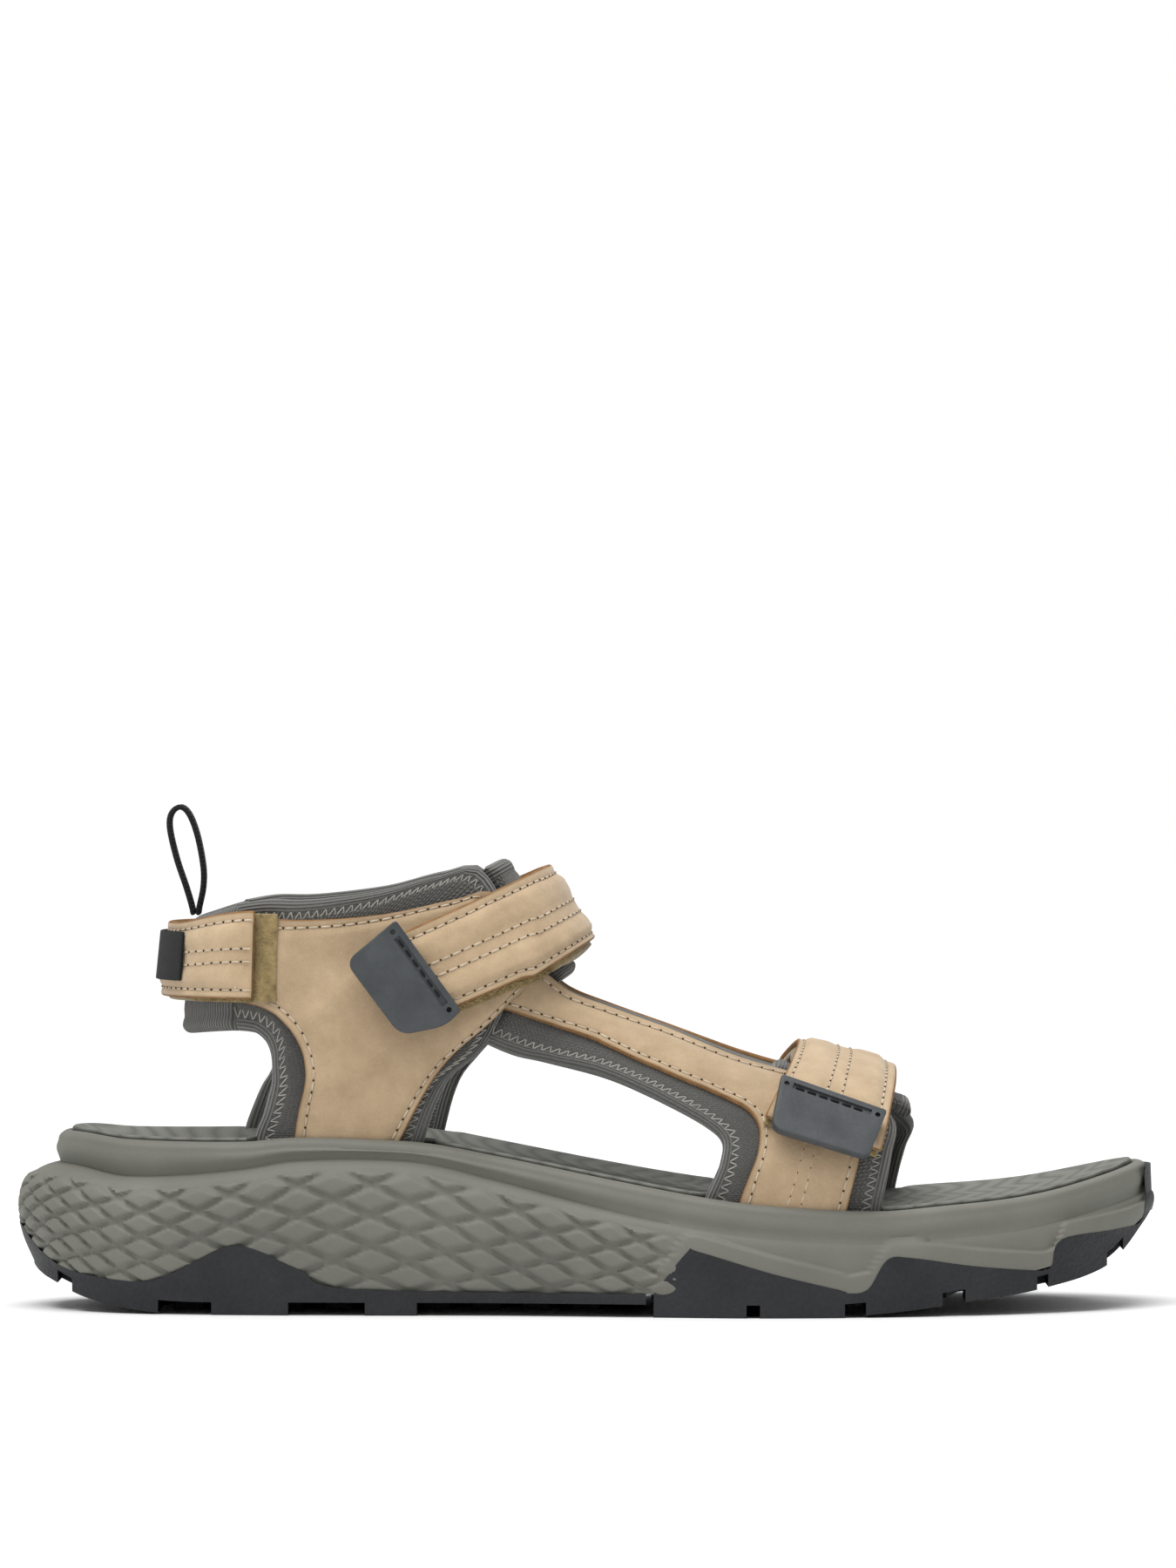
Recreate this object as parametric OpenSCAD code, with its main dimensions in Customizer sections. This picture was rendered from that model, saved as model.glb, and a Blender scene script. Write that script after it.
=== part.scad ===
// Strappy sport sandal for a right foot: moulded sole unit, leather and padded upper,
// and three hook-and-loop straps that peel open.
// X runs from heel to toe, Y to the inner (medial) side of the foot, Z up. Millimetres.

/* [Size] */
// Overall length of the sole, heel to toe
sole_length = 300; // [260:5:330]

/* [Sole] */
// Thickness of the midsole wall around the footbed
rim_wall = 3.5; // [3:0.25:4]
// Depth of the pocket that holds the footbed
pocket_depth = 8; // [7:0.5:9]
// Thickness of the rubber where it wraps up the midsole
wrap_t = 1.3; // [0.8:0.1:2]
// Depth of the tread lugs
lug_depth = 3.4; // [2:0.2:4]

/* [Upper] */
// Thickness of the padded lining
lining_t = 4; // [3:0.25:4.5]
// Thickness of the leather
leather_t = 1.8; // [1.2:0.1:2]
// Thickness of the hook tape and of the loop tape
tape_t = 1; // [0.7:0.1:1.2]
// Height of the heel strap
heel_strap_w = 20.5; // [16:0.5:22]

/* [Trim] */
// Width of the rubber pull tabs
tab_w = 29; // [26:0.5:31]
// Length of the rubber pull tabs
tab_l = 17; // [14:0.5:19]
// Thickness of the rubber pull tabs
tab_t = 2.6; // [2:0.1:3]
// Width of the webbing in the heel pull loop
loop_w = 9; // [6:0.5:12]

/* [Hidden] */

drawn_length = 300; // the length that every list below is drawn at
layer_gap = 0.3;    // between two layers that are sewn together
peel_gap = 0.35;    // between a strap and what it peels off
ring_n = 84;        // points round the sole
lat = -1;           // the outer side of the foot
med = 1;            // the inner side of the foot
sand = [0.80, 0.66, 0.50];
grey = [0.42, 0.42, 0.40];
knit = [0.36, 0.36, 0.36];
black = [0.15, 0.16, 0.17];
khaki = [0.62, 0.53, 0.36];

// Grows or shrinks the whole sandal from the length it is drawn at.
module sized() { scale(sole_length / drawn_length) children(); }

// ---- Curves ----

function clamp(v, low = 0, high = 1) = min(high, max(low, v));
function smooth(v) = let (t = clamp(v)) t * t * (3 - 2 * t);
function mix(a, b, t) = a + (b - a) * t;
function unit(v) = v / norm(v);

// Cubic through four values, between the middle two.
function cubic(a, b, c, d, t) =
    b + 0.5 * t * (c - a + t * (2 * a - 5 * b + 4 * c - d + t * (3 * (b - c) + d - a)));

// Smooth curve through a list of points, at u from 0 to its last index.
function along(list, u) =
    let (last = len(list) - 1, i = clamp(floor(u), 0, last - 1))
    cubic(list[max(0, i - 1)], list[i], list[i + 1], list[min(last, i + 2)], u - i);

function span(list, x, i = 0) =
    i >= len(list) - 2 || x < list[i + 1][0] ? i : span(list, x, i + 1);
function rise(list, i) =
    let (a = list[max(0, i - 1)], b = list[min(len(list) - 1, i + 1)]) (b[1] - a[1]) / (b[0] - a[0]);

// Height of a smooth curve through [x, value] pairs.
function curve(list, x) =
    let (i = span(list, x), p = list[i], q = list[i + 1], w = q[0] - p[0],
         t = clamp((x - p[0]) / w), m = rise(list, i) * w, n = rise(list, i + 1) * w)
    p[1] + t * (m + t * (3 * (q[1] - p[1]) - 2 * m - n + t * (2 * (p[1] - q[1]) + m + n)));

// ---- Sole: plan and heights ----

heel_x = -139.9; // rim at the heel
toe_x = 147.7;   // rim at the toe
end_power = 6.5; // how square the heel and toe are
rim_width_lat = [[-140, 39], [-100, 40.5], [-60, 41.5], [-20, 43.5], [20, 51], [42, 54.8], [70, 53.8],
    [100, 49], [125, 44], [148, 38]];
rim_width_med = [[-140, 37], [-100, 38], [-60, 36.5], [-25, 34], [5, 37], [35, 46], [62, 53.3], [90, 52.7],
    [115, 48], [148, 40]];
centre_line = [[-140, 0], [40, 0], [100, 3], [148, 8]];
rim_height = [[-141, 46.2], [-133, 46.6], [-120, 45.2], [-90, 44.9], [-77, 46], [-52, 45.4], [-40, 44.4],
    [-26, 41.8], [6, 35.4], [29, 31.2], [47, 28.9], [75, 27.4], [93, 28.6], [109, 30], [121, 31.9],
    [134, 35], [148, 38.8]];
floor_height = [[-141, 12], [-130, 8.6], [-113, 6.4], [-60, 6], [15, 6], [65, 6], [90, 7.5], [112, 10.5],
    [130, 15], [141, 20], [148, 25]];
tread_height = [[-150, 19.5], [-147.5, 13], [-144, 9.6], [-139, 7.2], [-133, 4.4], [-123, 1.8], [-112, 0.4],
    [-104, 0], [-90, 0], [55, 0], [66, 0.2], [75, 0.9], [88, 2.2], [100, 3.9], [113, 5.6], [122, 7.4],
    [130, 9.4], [137, 12.4], [141.5, 16.6], [146, 22], [148.5, 25], [151, 31]];
groove_drop = [[-141, 8], [-120, 9.6], [-77, 6], [-50, 5], [-26, 6.2], [6, 8], [30, 8.5], [148, 8.5]];
side_bulge = [[-141, 9.5], [-120, 7.5], [-100, 5.5], [-50, 4.5], [0, 3.5], [25, 1.6], [60, 1.2], [148, 1.2]];
groove_fade = [[-141, 1], [-10, 1], [25, 0], [148, 0]];

function end_round(x) =
    sqrt(max(0, 1 - pow(abs(2 * x - toe_x - heel_x) / (toe_x - heel_x), end_power)));
function rim_y(x, side) =
    curve(centre_line, x) + side * curve(side == lat ? rim_width_lat : rim_width_med, x) * end_round(x);

// Point of the rim's outline: angle 0 is the toe, 180 the heel, and the lateral side comes first.
function rim_point(angle) =
    let (x = (toe_x + heel_x) / 2 + (toe_x - heel_x) / 2 * cos(angle))
    [x, rim_y(x, sin(angle) > 0 ? lat : med)];
function rim_normal(angle) =
    let (d = unit(rim_point(angle - 1) - rim_point(angle + 1))) [d[1], -d[0]];

ring_angles = [for (i = [0 : ring_n - 1]) i * 360 / ring_n];

// A ring round the sole: out and height are functions of x.
function ring(out, height) =
    [for (a = ring_angles)
        let (p = rim_point(a), q = p + out(p[0]) * rim_normal(a)) [q[0], q[1], height(q[0])]];

function groove_z(x) = curve(rim_height, x) - curve(groove_drop, x);

// Rings of the outer side wall, as [share of the way from floor to groove, share of the bulge].
wall_steps = [[0, 0.55], [0.25, 0.85], [0.5, 1], [0.72, 0.95], [0.88, 0.72], [0.97, 0.3]];
function wall_rings(extra) =
    [for (s = wall_steps)
        ring(function (x) s[1] * curve(side_bulge, x) + extra,
             function (x) mix(curve(floor_height, x), groove_z(x), s[0]))];

// Rings above the groove, as [outward offset, drop below the rim].
lip_steps = [[0, 2.6], [-0.9, 0.7], [-2, 0], [-rim_wall, 0.3], [-rim_wall, pocket_depth]];

// Closed solid from a stack of rings, lowest first.
module ring_stack(rings) {
    n = len(rings[0]);
    half = n / 2;
    top = (len(rings) - 1) * n;
    walls = [for (k = [0 : len(rings) - 2], i = [0 : n - 1])
        let (a = k * n + i, b = k * n + (i + 1) % n) each [[a, b, a + n], [b, b + n, a + n]]];
    caps = [for (i = [0 : half - 1])
        let (j = (n - i) % n, m = n - i - 1)
        each concat(
            i == 0 ? [] : [[i, j, i + 1], [top + i, top + i + 1, top + j]],
            i == half - 1 ? [] : [[i + 1, j, m], [top + i + 1, top + m, top + j]])];
    polyhedron(points = [for (r = rings) each r], faces = concat(walls, caps));
}

// Keeps a boolean of free-form shapes as one mesh.
module one_mesh() { resize([0, 0, 0]) children(); }

module midsole_shape(extra = 0) {
    groove = ring(function (x) extra - 0.6 * curve(groove_fade, x), function (x) groove_z(x));
    under_lip = ring(function (x) extra, function (x) groove_z(x) + 1.8);
    lips = [for (s = lip_steps)
        ring(function (x) s[0], function (x) curve(rim_height, x) - s[1])];
    ring_stack(concat(wall_rings(extra), [groove, under_lip], lips));
}

// The space that the rubber may fill: the midsole's side wall, grown by the wrap.
module rubber_space() {
    base = ring(function (x) 0.4 * curve(side_bulge, x) + wrap_t, function (x) -1);
    top = ring(function (x) wrap_t, function (x) curve(rim_height, x) + 1);
    ring_stack(concat([base], wall_rings(wrap_t), [top]));
}

// Extrudes a side-view outline, drawn as [x, z], across the whole width.
module across() { rotate([90, 0, 0]) linear_extrude(height = 140, center = true) children(); }

// Side outline of the rubber: its upper edge, closed by the tread line.
module rubber_side(edge) {
    from = edge[0][0];
    to = edge[len(edge) - 1][0];
    tread = [for (i = [0 : 30]) let (x = mix(to, from, i / 30)) [x, curve(tread_height, x)]];
    across() polygon(concat(edge, tread));
}

rear_edge = [[-152, 21.8], [-149.3, 21.8], [-144.8, 16.4], [-138, 11.7], [-128, 9.4], [-116, 8.6], [-108, 11],
    [-98, 16.4], [-94, 18], [-91.5, 18.4], [-89, 18], [-84.3, 16.4], [-74.2, 11.7], [-60.6, 6.9],
    [15, 6.1]];
front_edge = [[17, 6.1], [25.5, 17], [28.7, 17.2], [48, 11.5], [65.5, 7.2], [67, 6.4], [72.5, 7.4],
    [77.5, 15], [84, 15.4], [100, 13], [116.5, 11.4], [119, 11.6], [121, 12.6], [123.6, 19.3],
    [139, 21.2], [145.6, 22.6], [147, 28.5], [147.2, 36.6], [153, 36.6]];

// Side lugs as [from, to] along x, and the shorter rows between them.
rear_side_lugs = [[-156, -139], [-135, -112], [-98, -78], [-58, -44.5]];
front_side_lugs = [[16, 41], [44.5, 66.5], [72, 92], [98, 117], [120, 136], [140.5, 156]];
lug_reach = 17; // how far a side lug runs in from the edge
chevron_step = 13;

module side_lugs(list) {
    for (span = list)
        difference() {
            translate([span[0], -70, -3]) cube([span[1] - span[0], 140, 50]);
            translate([span[0] - 1, rim_y(span[0], lat) + lug_reach, -4])
                cube([span[1] - span[0] + 2, rim_y(span[0], med) - rim_y(span[0], lat) - 2 * lug_reach, 52]);
        }
}

module centre_lugs(from, to) {
    for (x = [from : chevron_step : to - 6])
        translate([x, 0, -3]) linear_extrude(height = 50)
            polygon([[0, -18.5], [7, -18.5], [11, 0], [7, 18.5], [0, 18.5], [4, 0]]);
}

// Everything between the tread line and the bottom of the grooves that isn't a lug.
module grooves(lugs, centre_from, centre_to) {
    difference() {
        across() polygon(concat(
            [for (i = [0 : 50]) let (x = -156 + i * 6.3) [x, curve(tread_height, x) - 3]],
            [for (i = [50 : -1 : 0]) let (x = -156 + i * 6.3) [x, curve(tread_height, x) + lug_depth]]));
        side_lugs(lugs);
        centre_lugs(centre_from, centre_to);
    }
}

module outsole(edge, lugs, centre_from, centre_to) {
    one_mesh() difference() {
        intersection() {
            rubber_space();
            rubber_side(edge);
        }
        grooves(lugs, centre_from, centre_to);
        midsole_shape(0.05);
    }
}

// ---- Footbed ----

// Where the upper goes down into the sole, as [side, from, to] along x.
upper_slots = [[lat, -89, -38], [lat, 27, 79], [med, -93, -34], [med, 32, 87]];
slot_gap = 0.6;

module slot_cuts() {
    for (s = upper_slots)
        translate([0, 0, -1]) linear_extrude(height = 80)
            polygon(concat(
                [for (i = [0 : 14]) let (x = mix(s[1], s[2], i / 14), z = curve(rim_height, x) - 2)
                    [x, form(to_form([x, z], s[0]))[1] - s[0] * slot_gap]],
                [[s[2], s[0] * 70], [s[1], s[0] * 70]]));
}

bed_steps = [[0, 0], [8, 0.35], [20, 1]]; // [inset, share of the dish]
dish = [[-141, 1.5], [-110, 4.5], [-80, 4.5], [-30, 2], [30, 1.2], [148, 1]];

function bed_ring(inset, share, lift) =
    ring(function (x) -rim_wall - 0.3 - inset,
         function (x) curve(rim_height, x) + lift - share * curve(dish, x));

module bed_layer(low, high, dished) {
    lower = [for (i = [len(bed_steps) - 1 : -1 : 0])
        bed_ring(bed_steps[i][0], bed_steps[i][1] * dished[0], low)];
    upper = [for (s = bed_steps) bed_ring(s[0], s[1] * dished[1], high)];
    one_mesh() difference() {
        ring_stack(concat(lower, upper));
        slot_cuts();
    }
}

// ---- Upper: the foot's form, and what is draped on it ----

// Top of the foot's form along the centre line.
ridge = [[-120, 269.6], [-60, 173], [-40, 140.8], [-22.1, 111.9], [-8.3, 89.6], [3, 80], [19, 73.5],
    [38, 65.8], [51, 60.5], [64, 57.4], [76, 54], [84, 50.4], [95, 45], [115, 38]];
shoulder = [[-60, 42], [-10, 42], [20, 30], [50, 23], [80, 22], [115, 20]]; // depth of the rounded top
ankle_half = 31;    // half width of the form at the ankle
base_inset = 10.1;  // from the rim's outline to the form, at the sole
heel_centre = -70;  // where the heel starts to close
heel_reach = 31;    // from there to the back of the heel, at the middle of the heel strap
heel_lean = 0.1;   // how much the back of the heel leans forward
heel_mid = 91;      // height of the middle of the heel strap

function reach(z) = heel_reach - heel_lean * (z - heel_mid);
function slant(x) = let (m = curve(ridge, x + 0.5) - curve(ridge, x - 0.5)) sqrt(1 + m * m);

// Half width of the form at [x, z], before the heel closes and the top rounds over.
function form_half(x, z, side) =
    let (base = side * (rim_y(x, side) - curve(centre_line, x)) - base_inset,
         top = mix(ankle_half, base, smooth((x + 5) / 35)))
    mix(base, top, smooth((z - curve(rim_height, x)) / 35));

// Point of the form at p = [s, a]: s runs forward and round the heel, a is the angle over the top,
// below zero on the lateral side.
function form(p) =
    let (s = p[0], side = p[1] < 0 ? lat : med, a = abs(p[1]), turn = max(0, heel_centre - s) / heel_reach,
         x0 = max(s, heel_centre - heel_reach),
         depth = curve(shoulder, x0) * (a < 90 ? 1 - cos(a) : 1 + (a - 90) * PI / 180),
         z = curve(ridge, x0) - depth * slant(x0),
         x = s > heel_centre ? s : heel_centre - reach(z) * sin(turn * 180 / PI),
         share = sin(min(a, 90)) * cos(min(turn * 180 / PI, 180)))
    [x, curve(centre_line, x) + side * share * form_half(x, z, side), z];
function form_normal(p) =
    unit(cross(form(p + [0.4, 0]) - form(p - [0.4, 0]), form(p + [0, 0.6]) - form(p - [0, 0.6])));
function lift_off(p, depth) = form(p) + depth * form_normal(p);

// The same from a side-view point [x, z].
function to_form(p, side) =
    let (z = p[1], turn = asin(clamp((heel_centre - p[0]) / reach(z), 0, 0.999)),
         s = p[0] > heel_centre ? p[0] : heel_centre - heel_reach * turn * PI / 180,
         x0 = max(s, heel_centre - heel_reach),
         depth = max(0, curve(ridge, x0) - z) / slant(x0) / curve(shoulder, x0),
         a = depth < 1 ? acos(1 - depth) : 90 + (depth - 1) * 180 / PI)
    [s, side * a];

function reverse(row) = [for (j = [len(row) - 1 : -1 : 0]) row[j]];

// Closed slab between an outer and an inner grid of points.
module slab(outer, inner) {
    n = len(outer);
    m = len(outer[0]);
    k = n * m;
    skin = [for (i = [0 : n - 2], j = [0 : m - 2])
        let (a = i * m + j, b = a + 1, c = a + m, d = c + 1)
        each [[a, b, c], [b, d, c], [k + a, k + c, k + b], [k + b, k + c, k + d]]];
    ends = [for (j = [0 : m - 2])
        let (a = j, b = j + 1, c = (n - 1) * m + j, d = c + 1)
        each [[a, k + a, b], [b, k + a, k + b], [c, d, k + c], [d, k + d, k + c]]];
    sides = [for (i = [0 : n - 2])
        let (a = i * m, b = a + m, c = i * m + m - 1, d = c + m)
        each [[a, b, k + a], [b, k + b, k + a], [c, k + c, d], [d, k + c, k + d]]];
    polyhedron(points = concat([for (r = outer) each r], [for (r = inner) each r]),
        faces = concat(skin, ends, sides));
}

// Slab over a grid of form coordinates; flip turns it when the grid runs the other way.
module draped(grid, low, thick, flip = false) {
    g = flip ? [for (row = grid) reverse(row)] : grid;
    slab([for (row = g) [for (p = row) lift_off([p[0], p[1]], low + thick + (p[2] == undef ? 0 : p[2]))]],
         [for (row = g) [for (p = row) lift_off([p[0], p[1]], low + (p[2] == undef ? 0 : p[2]))]]);
}

// Panel between two rails of side-view points on one side of the foot.
// lift lists how far each station stands off, on top of low.
module panel(rail_a, rail_b, side, low, thick, lift = undef, fine = 3, wide = 5) {
    last = len(rail_a) - 1;
    grid = [for (i = [0 : last * fine])
        let (u = i / fine, more = lift == undef ? 0 : along(lift, u))
        [for (j = [0 : wide])
            let (p = to_form(mix(along(rail_a, u), along(rail_b, u), j / wide), side)) [p[0], p[1], more]]];
    draped(grid, low, thick, flip = side == med);
}

// The medial side's version of a side-view point: the heel opening sits further back there,
// and the ball of the foot further forward.
medial_shift = [[-120, -3.5], [-75, -3.5], [-49, 3.5], [0, 5], [29, 6.5], [110, 6.5]];
function to_medial(p) =
    let (fade = 1 - smooth((p[1] - 50) / 22), x = p[0] + curve(medial_shift, p[0]) * fade,
         share = clamp((p[1] - curve(rim_height, p[0])) / 30))
    [x, p[1] + (1 - share) * (curve(rim_height, x) - curve(rim_height, p[0]))
        + share * fade * (curve(ridge, x) - curve(ridge, p[0]))];
function rail(list, side) = side == med ? [for (p = list) to_medial(p)] : list;

// Quarter: from the heel, round the side opening and down to the sole.
quarter_in = [[-90, 81], [-86.5, 80.6], [-83, 79.6], [-79.5, 77.5], [-76, 73.7], [-73.7, 68.7], [-72.8, 63],
    [-73.2, 58.3], [-74.4, 52.6], [-75.6, 45.5], [-76.3, 40]];
quarter_out = [[-89, 102.5], [-82, 102.8], [-72, 102.7], [-54, 103.6], [-38, 106], [-28.5, 106], [-19, 88],
    [-25.6, 76.5], [-38, 64.1], [-48.7, 45], [-50.5, 38.5]];
over_bar = leather_t + layer_gap;
quarter_lift = [0, 0, 0, 0.4, over_bar * 0.9, over_bar, over_bar, over_bar, over_bar / 2, 0, 0];
lining_in = [[-90, 73.4], [-87, 73.2], [-85, 72.6], [-82.9, 70.4], [-81.8, 67], [-81.6, 62.5], [-81.9, 59.3],
    [-82.8, 56], [-84, 51.5], [-86, 46], [-86.6, 39.8]];
lining_out = [[-89.6, 106.6], [-82, 107.9], [-72, 108], [-54, 110], [-40, 113.4], [-29, 113.5], [-20.5, 93],
    [-25.8, 71], [-36.5, 60.5], [-42.5, 45.5], [-43.5, 38.5]];

// Vamp: the bar along the foot and its turn down to the sole at the ball.
vamp_out = [[-16.5, 88], [-7, 80.2], [3, 75.4], [19, 69.3], [36, 62.2], [51, 57.4], [65, 53.5], [70.5, 47.5],
    [69.5, 40.5], [66.5, 28], [65.5, 22]];
vamp_in = [[-26.4, 79], [-15, 74.4], [1, 68], [17, 61], [33, 54], [40, 50.5], [43.5, 46.5], [43.8, 41.5],
    [41.7, 35.8], [39.5, 29], [38.6, 23.5]];
vamp_lining_out = [[-15, 88], [-5.5, 80.8], [4, 76.9], [20, 70.9], [37, 63.3], [51.5, 58.5], [70, 54.2],
    [79, 47.5], [77.8, 39.5], [75.8, 28], [75.3, 21.5]];
vamp_lining_in = [[-23.4, 71.8], [-17, 66.5], [-11.5, 64.5], [6, 59.8], [21, 53.4], [30.4, 48.4],
    [34.8, 44.5], [34.6, 40], [33, 35.8], [30.5, 30], [29.4, 25]];

lining_low = 0;
leather_low = lining_t + layer_gap;
over_low = leather_low + over_bar;

module quarter_lining(side) {
    color(knit) panel(rail(lining_in, side), rail(lining_out, side), side, lining_low, lining_t, wide = 7);
}
module quarter_leather(side) {
    color(sand) panel(rail(quarter_in, side), rail(quarter_out, side), side, leather_low, leather_t,
        lift = quarter_lift, wide = 8);
}
module vamp_lining(side) {
    color(knit) panel(rail(vamp_lining_in, side), rail(vamp_lining_out, side), side, lining_low, lining_t);
}
module vamp_leather(side) {
    color(sand) panel(rail(vamp_in, side), rail(vamp_out, side), side, leather_low, leather_t);
}

// Piece of a band over the top. A band is [rear x and front x on the ridge, fall of its rear edge and of
// its front edge]; v is the distance down from the ridge in side view, below zero on the lateral side.
function band_point(band, v, t) =
    let (x = mix(band[0], band[1], t), fall = mix(band[2], band[3], t), d = abs(v))
    to_form([x - d * cos(fall), curve(ridge, x) - d * sin(fall)], v < 0 ? lat : med);
function root_step(a, b, t) =
    let (p = sign(a) * sqrt(abs(a)), q = sign(b) * sqrt(abs(b)), r = mix(p, q, t)) sign(r) * r * r;
function band_row(band, v, wide, low) = [for (j = [0 : wide]) lift_off(band_point(band, v, j / wide), low)];

// stations run from the lateral side to the medial side, as [v, inner depth, outer depth].
module over_band(band, stations, fine = 4, wide = 5) {
    rows = [for (k = [0 : len(stations) - 2], i = [(k == 0 ? 0 : 1) : fine])
        let (a = stations[k], b = stations[k + 1], t = i / fine)
        [root_step(a[0], b[0], t), mix(a[1], b[1], t), mix(a[2], b[2], t)]];
    slab([for (r = rows) reverse(band_row(band, r[0], wide, r[2]))],
         [for (r = rows) reverse(band_row(band, r[0], wide, r[1]))]);
}
function even(from, to, low, thick) = [[from, low, low + thick], [to, low, low + thick]];

// ---- Instep strap ----

instep_band = [-21, -8, 22, 20];
instep_tape_band = [-20.4, -8.6, 22, 20];
instep_pad_band = [-25, -5.5, 28, 30];
instep_seam = -9;  // where the tail starts to peel, down from the ridge
instep_end = -35;  // end of the tail
instep_sewn = 36;  // end of the strap on the medial side
instep_pad_half = 4;
seam_half = 0.4;   // half the gap between a strap and its tail, in side view

instep_patch_low = over_low + leather_t + layer_gap;
instep_tape_low = instep_patch_low + tape_t + peel_gap;
instep_strap_low = instep_tape_low + tape_t + layer_gap;
instep_strap_high = instep_strap_low + leather_t;

module instep_pad() {
    color(knit) over_band(instep_pad_band,
        [[-instep_pad_half, 0, lining_t], [0, 0, lining_t], [instep_pad_half, 0, lining_t]]);
}
module instep_loop_patch() {
    color(khaki) over_band(instep_tape_band, even(-36, -13, instep_patch_low, tape_t), fine = 8);
}
module instep_strap_base() {
    color(sand) over_band(instep_band, [[instep_seam + seam_half, instep_strap_low, instep_strap_high],
        [0, instep_strap_low, instep_strap_high], [14, instep_strap_low, instep_strap_high],
        [24, instep_patch_low, instep_patch_low + leather_t],
        [instep_sewn, instep_patch_low, instep_patch_low + leather_t]]);
}
module instep_backing() {
    inner = leather_low;
    outer = instep_strap_low - layer_gap;
    color(khaki) over_band(instep_tape_band, [[instep_seam + seam_half, instep_patch_low, outer],
        [-instep_pad_half, instep_patch_low, outer], [-instep_pad_half * 0.7, inner, outer],
        [0, inner, outer], [instep_pad_half * 0.7, inner, outer],
        [instep_pad_half, instep_patch_low, outer], [14, instep_patch_low, outer]], fine = 2);
}
module instep_strap_tail() {
    color(sand) over_band(instep_band, even(instep_end, instep_seam - seam_half, instep_strap_low, leather_t),
        fine = 10);
}
module instep_hook_tape() {
    color(khaki) over_band(instep_tape_band,
        even(instep_end + 1, instep_seam - seam_half, instep_tape_low, tape_t), fine = 10);
}

// ---- Forefoot strap ----

forefoot_band = [52.5, 77.5, 59, 73];
forefoot_tape_band = [53, 77, 59, 73];
forefoot_pad_band = [48, 84, 70, 88];
forefoot_seam = -2;
forefoot_end = -17;
forefoot_sewn = 16;
forefoot_pad_half = 1.2;
toe_seam_half = 0.16;

forefoot_patch_low = over_low;
forefoot_tape_low = forefoot_patch_low + tape_t + peel_gap;
forefoot_strap_low = forefoot_tape_low + tape_t + layer_gap;
forefoot_strap_high = forefoot_strap_low + leather_t;

module forefoot_pad() {
    color(knit) over_band(forefoot_pad_band,
        [[-forefoot_pad_half, 0, lining_t], [0, 0, lining_t], [forefoot_pad_half, 0, lining_t]], wide = 8);
}
module forefoot_loop_patch() {
    color(khaki) over_band(forefoot_tape_band, even(-16, -4, forefoot_patch_low, tape_t), fine = 6);
}
module forefoot_strap_base() {
    color(sand) over_band(forefoot_band, [
        [forefoot_seam + toe_seam_half, forefoot_strap_low, forefoot_strap_high],
        [0, forefoot_strap_low, forefoot_strap_high], [5, forefoot_strap_low, forefoot_strap_high],
        [9, forefoot_patch_low, forefoot_patch_low + leather_t],
        [forefoot_sewn, forefoot_patch_low, forefoot_patch_low + leather_t]]);
}
module forefoot_backing() {
    inner = leather_low;
    outer = forefoot_strap_low - layer_gap;
    color(khaki) over_band(forefoot_tape_band, [[forefoot_seam + toe_seam_half, forefoot_patch_low, outer],
        [-forefoot_pad_half, forefoot_patch_low, outer], [-forefoot_pad_half * 0.7, inner, outer],
        [0, inner, outer], [forefoot_pad_half * 0.7, inner, outer],
        [forefoot_pad_half, forefoot_patch_low, outer], [4.5, forefoot_patch_low, outer]], fine = 3);
}
module forefoot_strap_tail() {
    color(sand) over_band(forefoot_band,
        even(forefoot_end, forefoot_seam - toe_seam_half, forefoot_strap_low, leather_t), fine = 8);
}
module forefoot_hook_tape() {
    color(khaki) over_band(forefoot_tape_band,
        even(forefoot_end + 0.5, forefoot_seam - toe_seam_half, forefoot_tape_low, tape_t), fine = 8);
}

// ---- Heel ----

// Point of the form at an angle round the heel: 0 is the back, below zero the lateral side.
function heel_form(angle, z) =
    let (side = angle < 0 ? lat : med, turn = clamp(90 - abs(angle), 0, 90),
         x = abs(angle) > 90 ? heel_centre + heel_reach * (abs(angle) - 90) * PI / 180
             : heel_centre - reach(z) * sin(turn))
    [x, curve(centre_line, x) + side * cos(turn) * form_half(x, z, side), z];
function heel_normal(angle, z) =
    unit(cross(heel_form(angle + 1, z) - heel_form(angle - 1, z), [0, 0, 1]));
function heel_point(angle, z, depth) = heel_form(angle, z) - depth * heel_normal(angle, z);

// Band round the heel, as [angle, lower z, upper z, inner depth, outer depth] stations.
module heel_band(stations, fine = 3, wide = 4) {
    rows = [for (i = [0 : (len(stations) - 1) * fine]) along(stations, i / fine)];
    slab([for (r = rows) [for (j = [wide : -1 : 0]) heel_point(r[0], mix(r[1], r[2], j / wide), r[4])]],
         [for (r = rows) [for (j = [wide : -1 : 0]) heel_point(r[0], mix(r[1], r[2], j / wide), r[3])]]);
}

heel_patch_low = leather_low + leather_t + layer_gap;
heel_tape_low = heel_patch_low + tape_t + peel_gap;
heel_strap_low = heel_tape_low + tape_t + layer_gap;
heel_strap_high = heel_strap_low + leather_t;
heel_seam = -36;
heel_end = -65;
heel_sewn = 82;
heel_seam_half = 0.6;

// Lower and upper edge of the heel strap at an angle.
function heel_low_z(angle) = heel_mid - heel_strap_w / 2 + 1.2;
function heel_high_z(angle) = heel_mid + heel_strap_w / 2 + 0.4 + 3.4 * smooth((-angle - 20) / 45);
function heel_even(from, to, inset, low, high) =
    [for (i = [0 : 4]) let (a = mix(from, to, i / 4))
        [a, heel_low_z(a) + inset, heel_high_z(a) - inset, low, high]];

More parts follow.
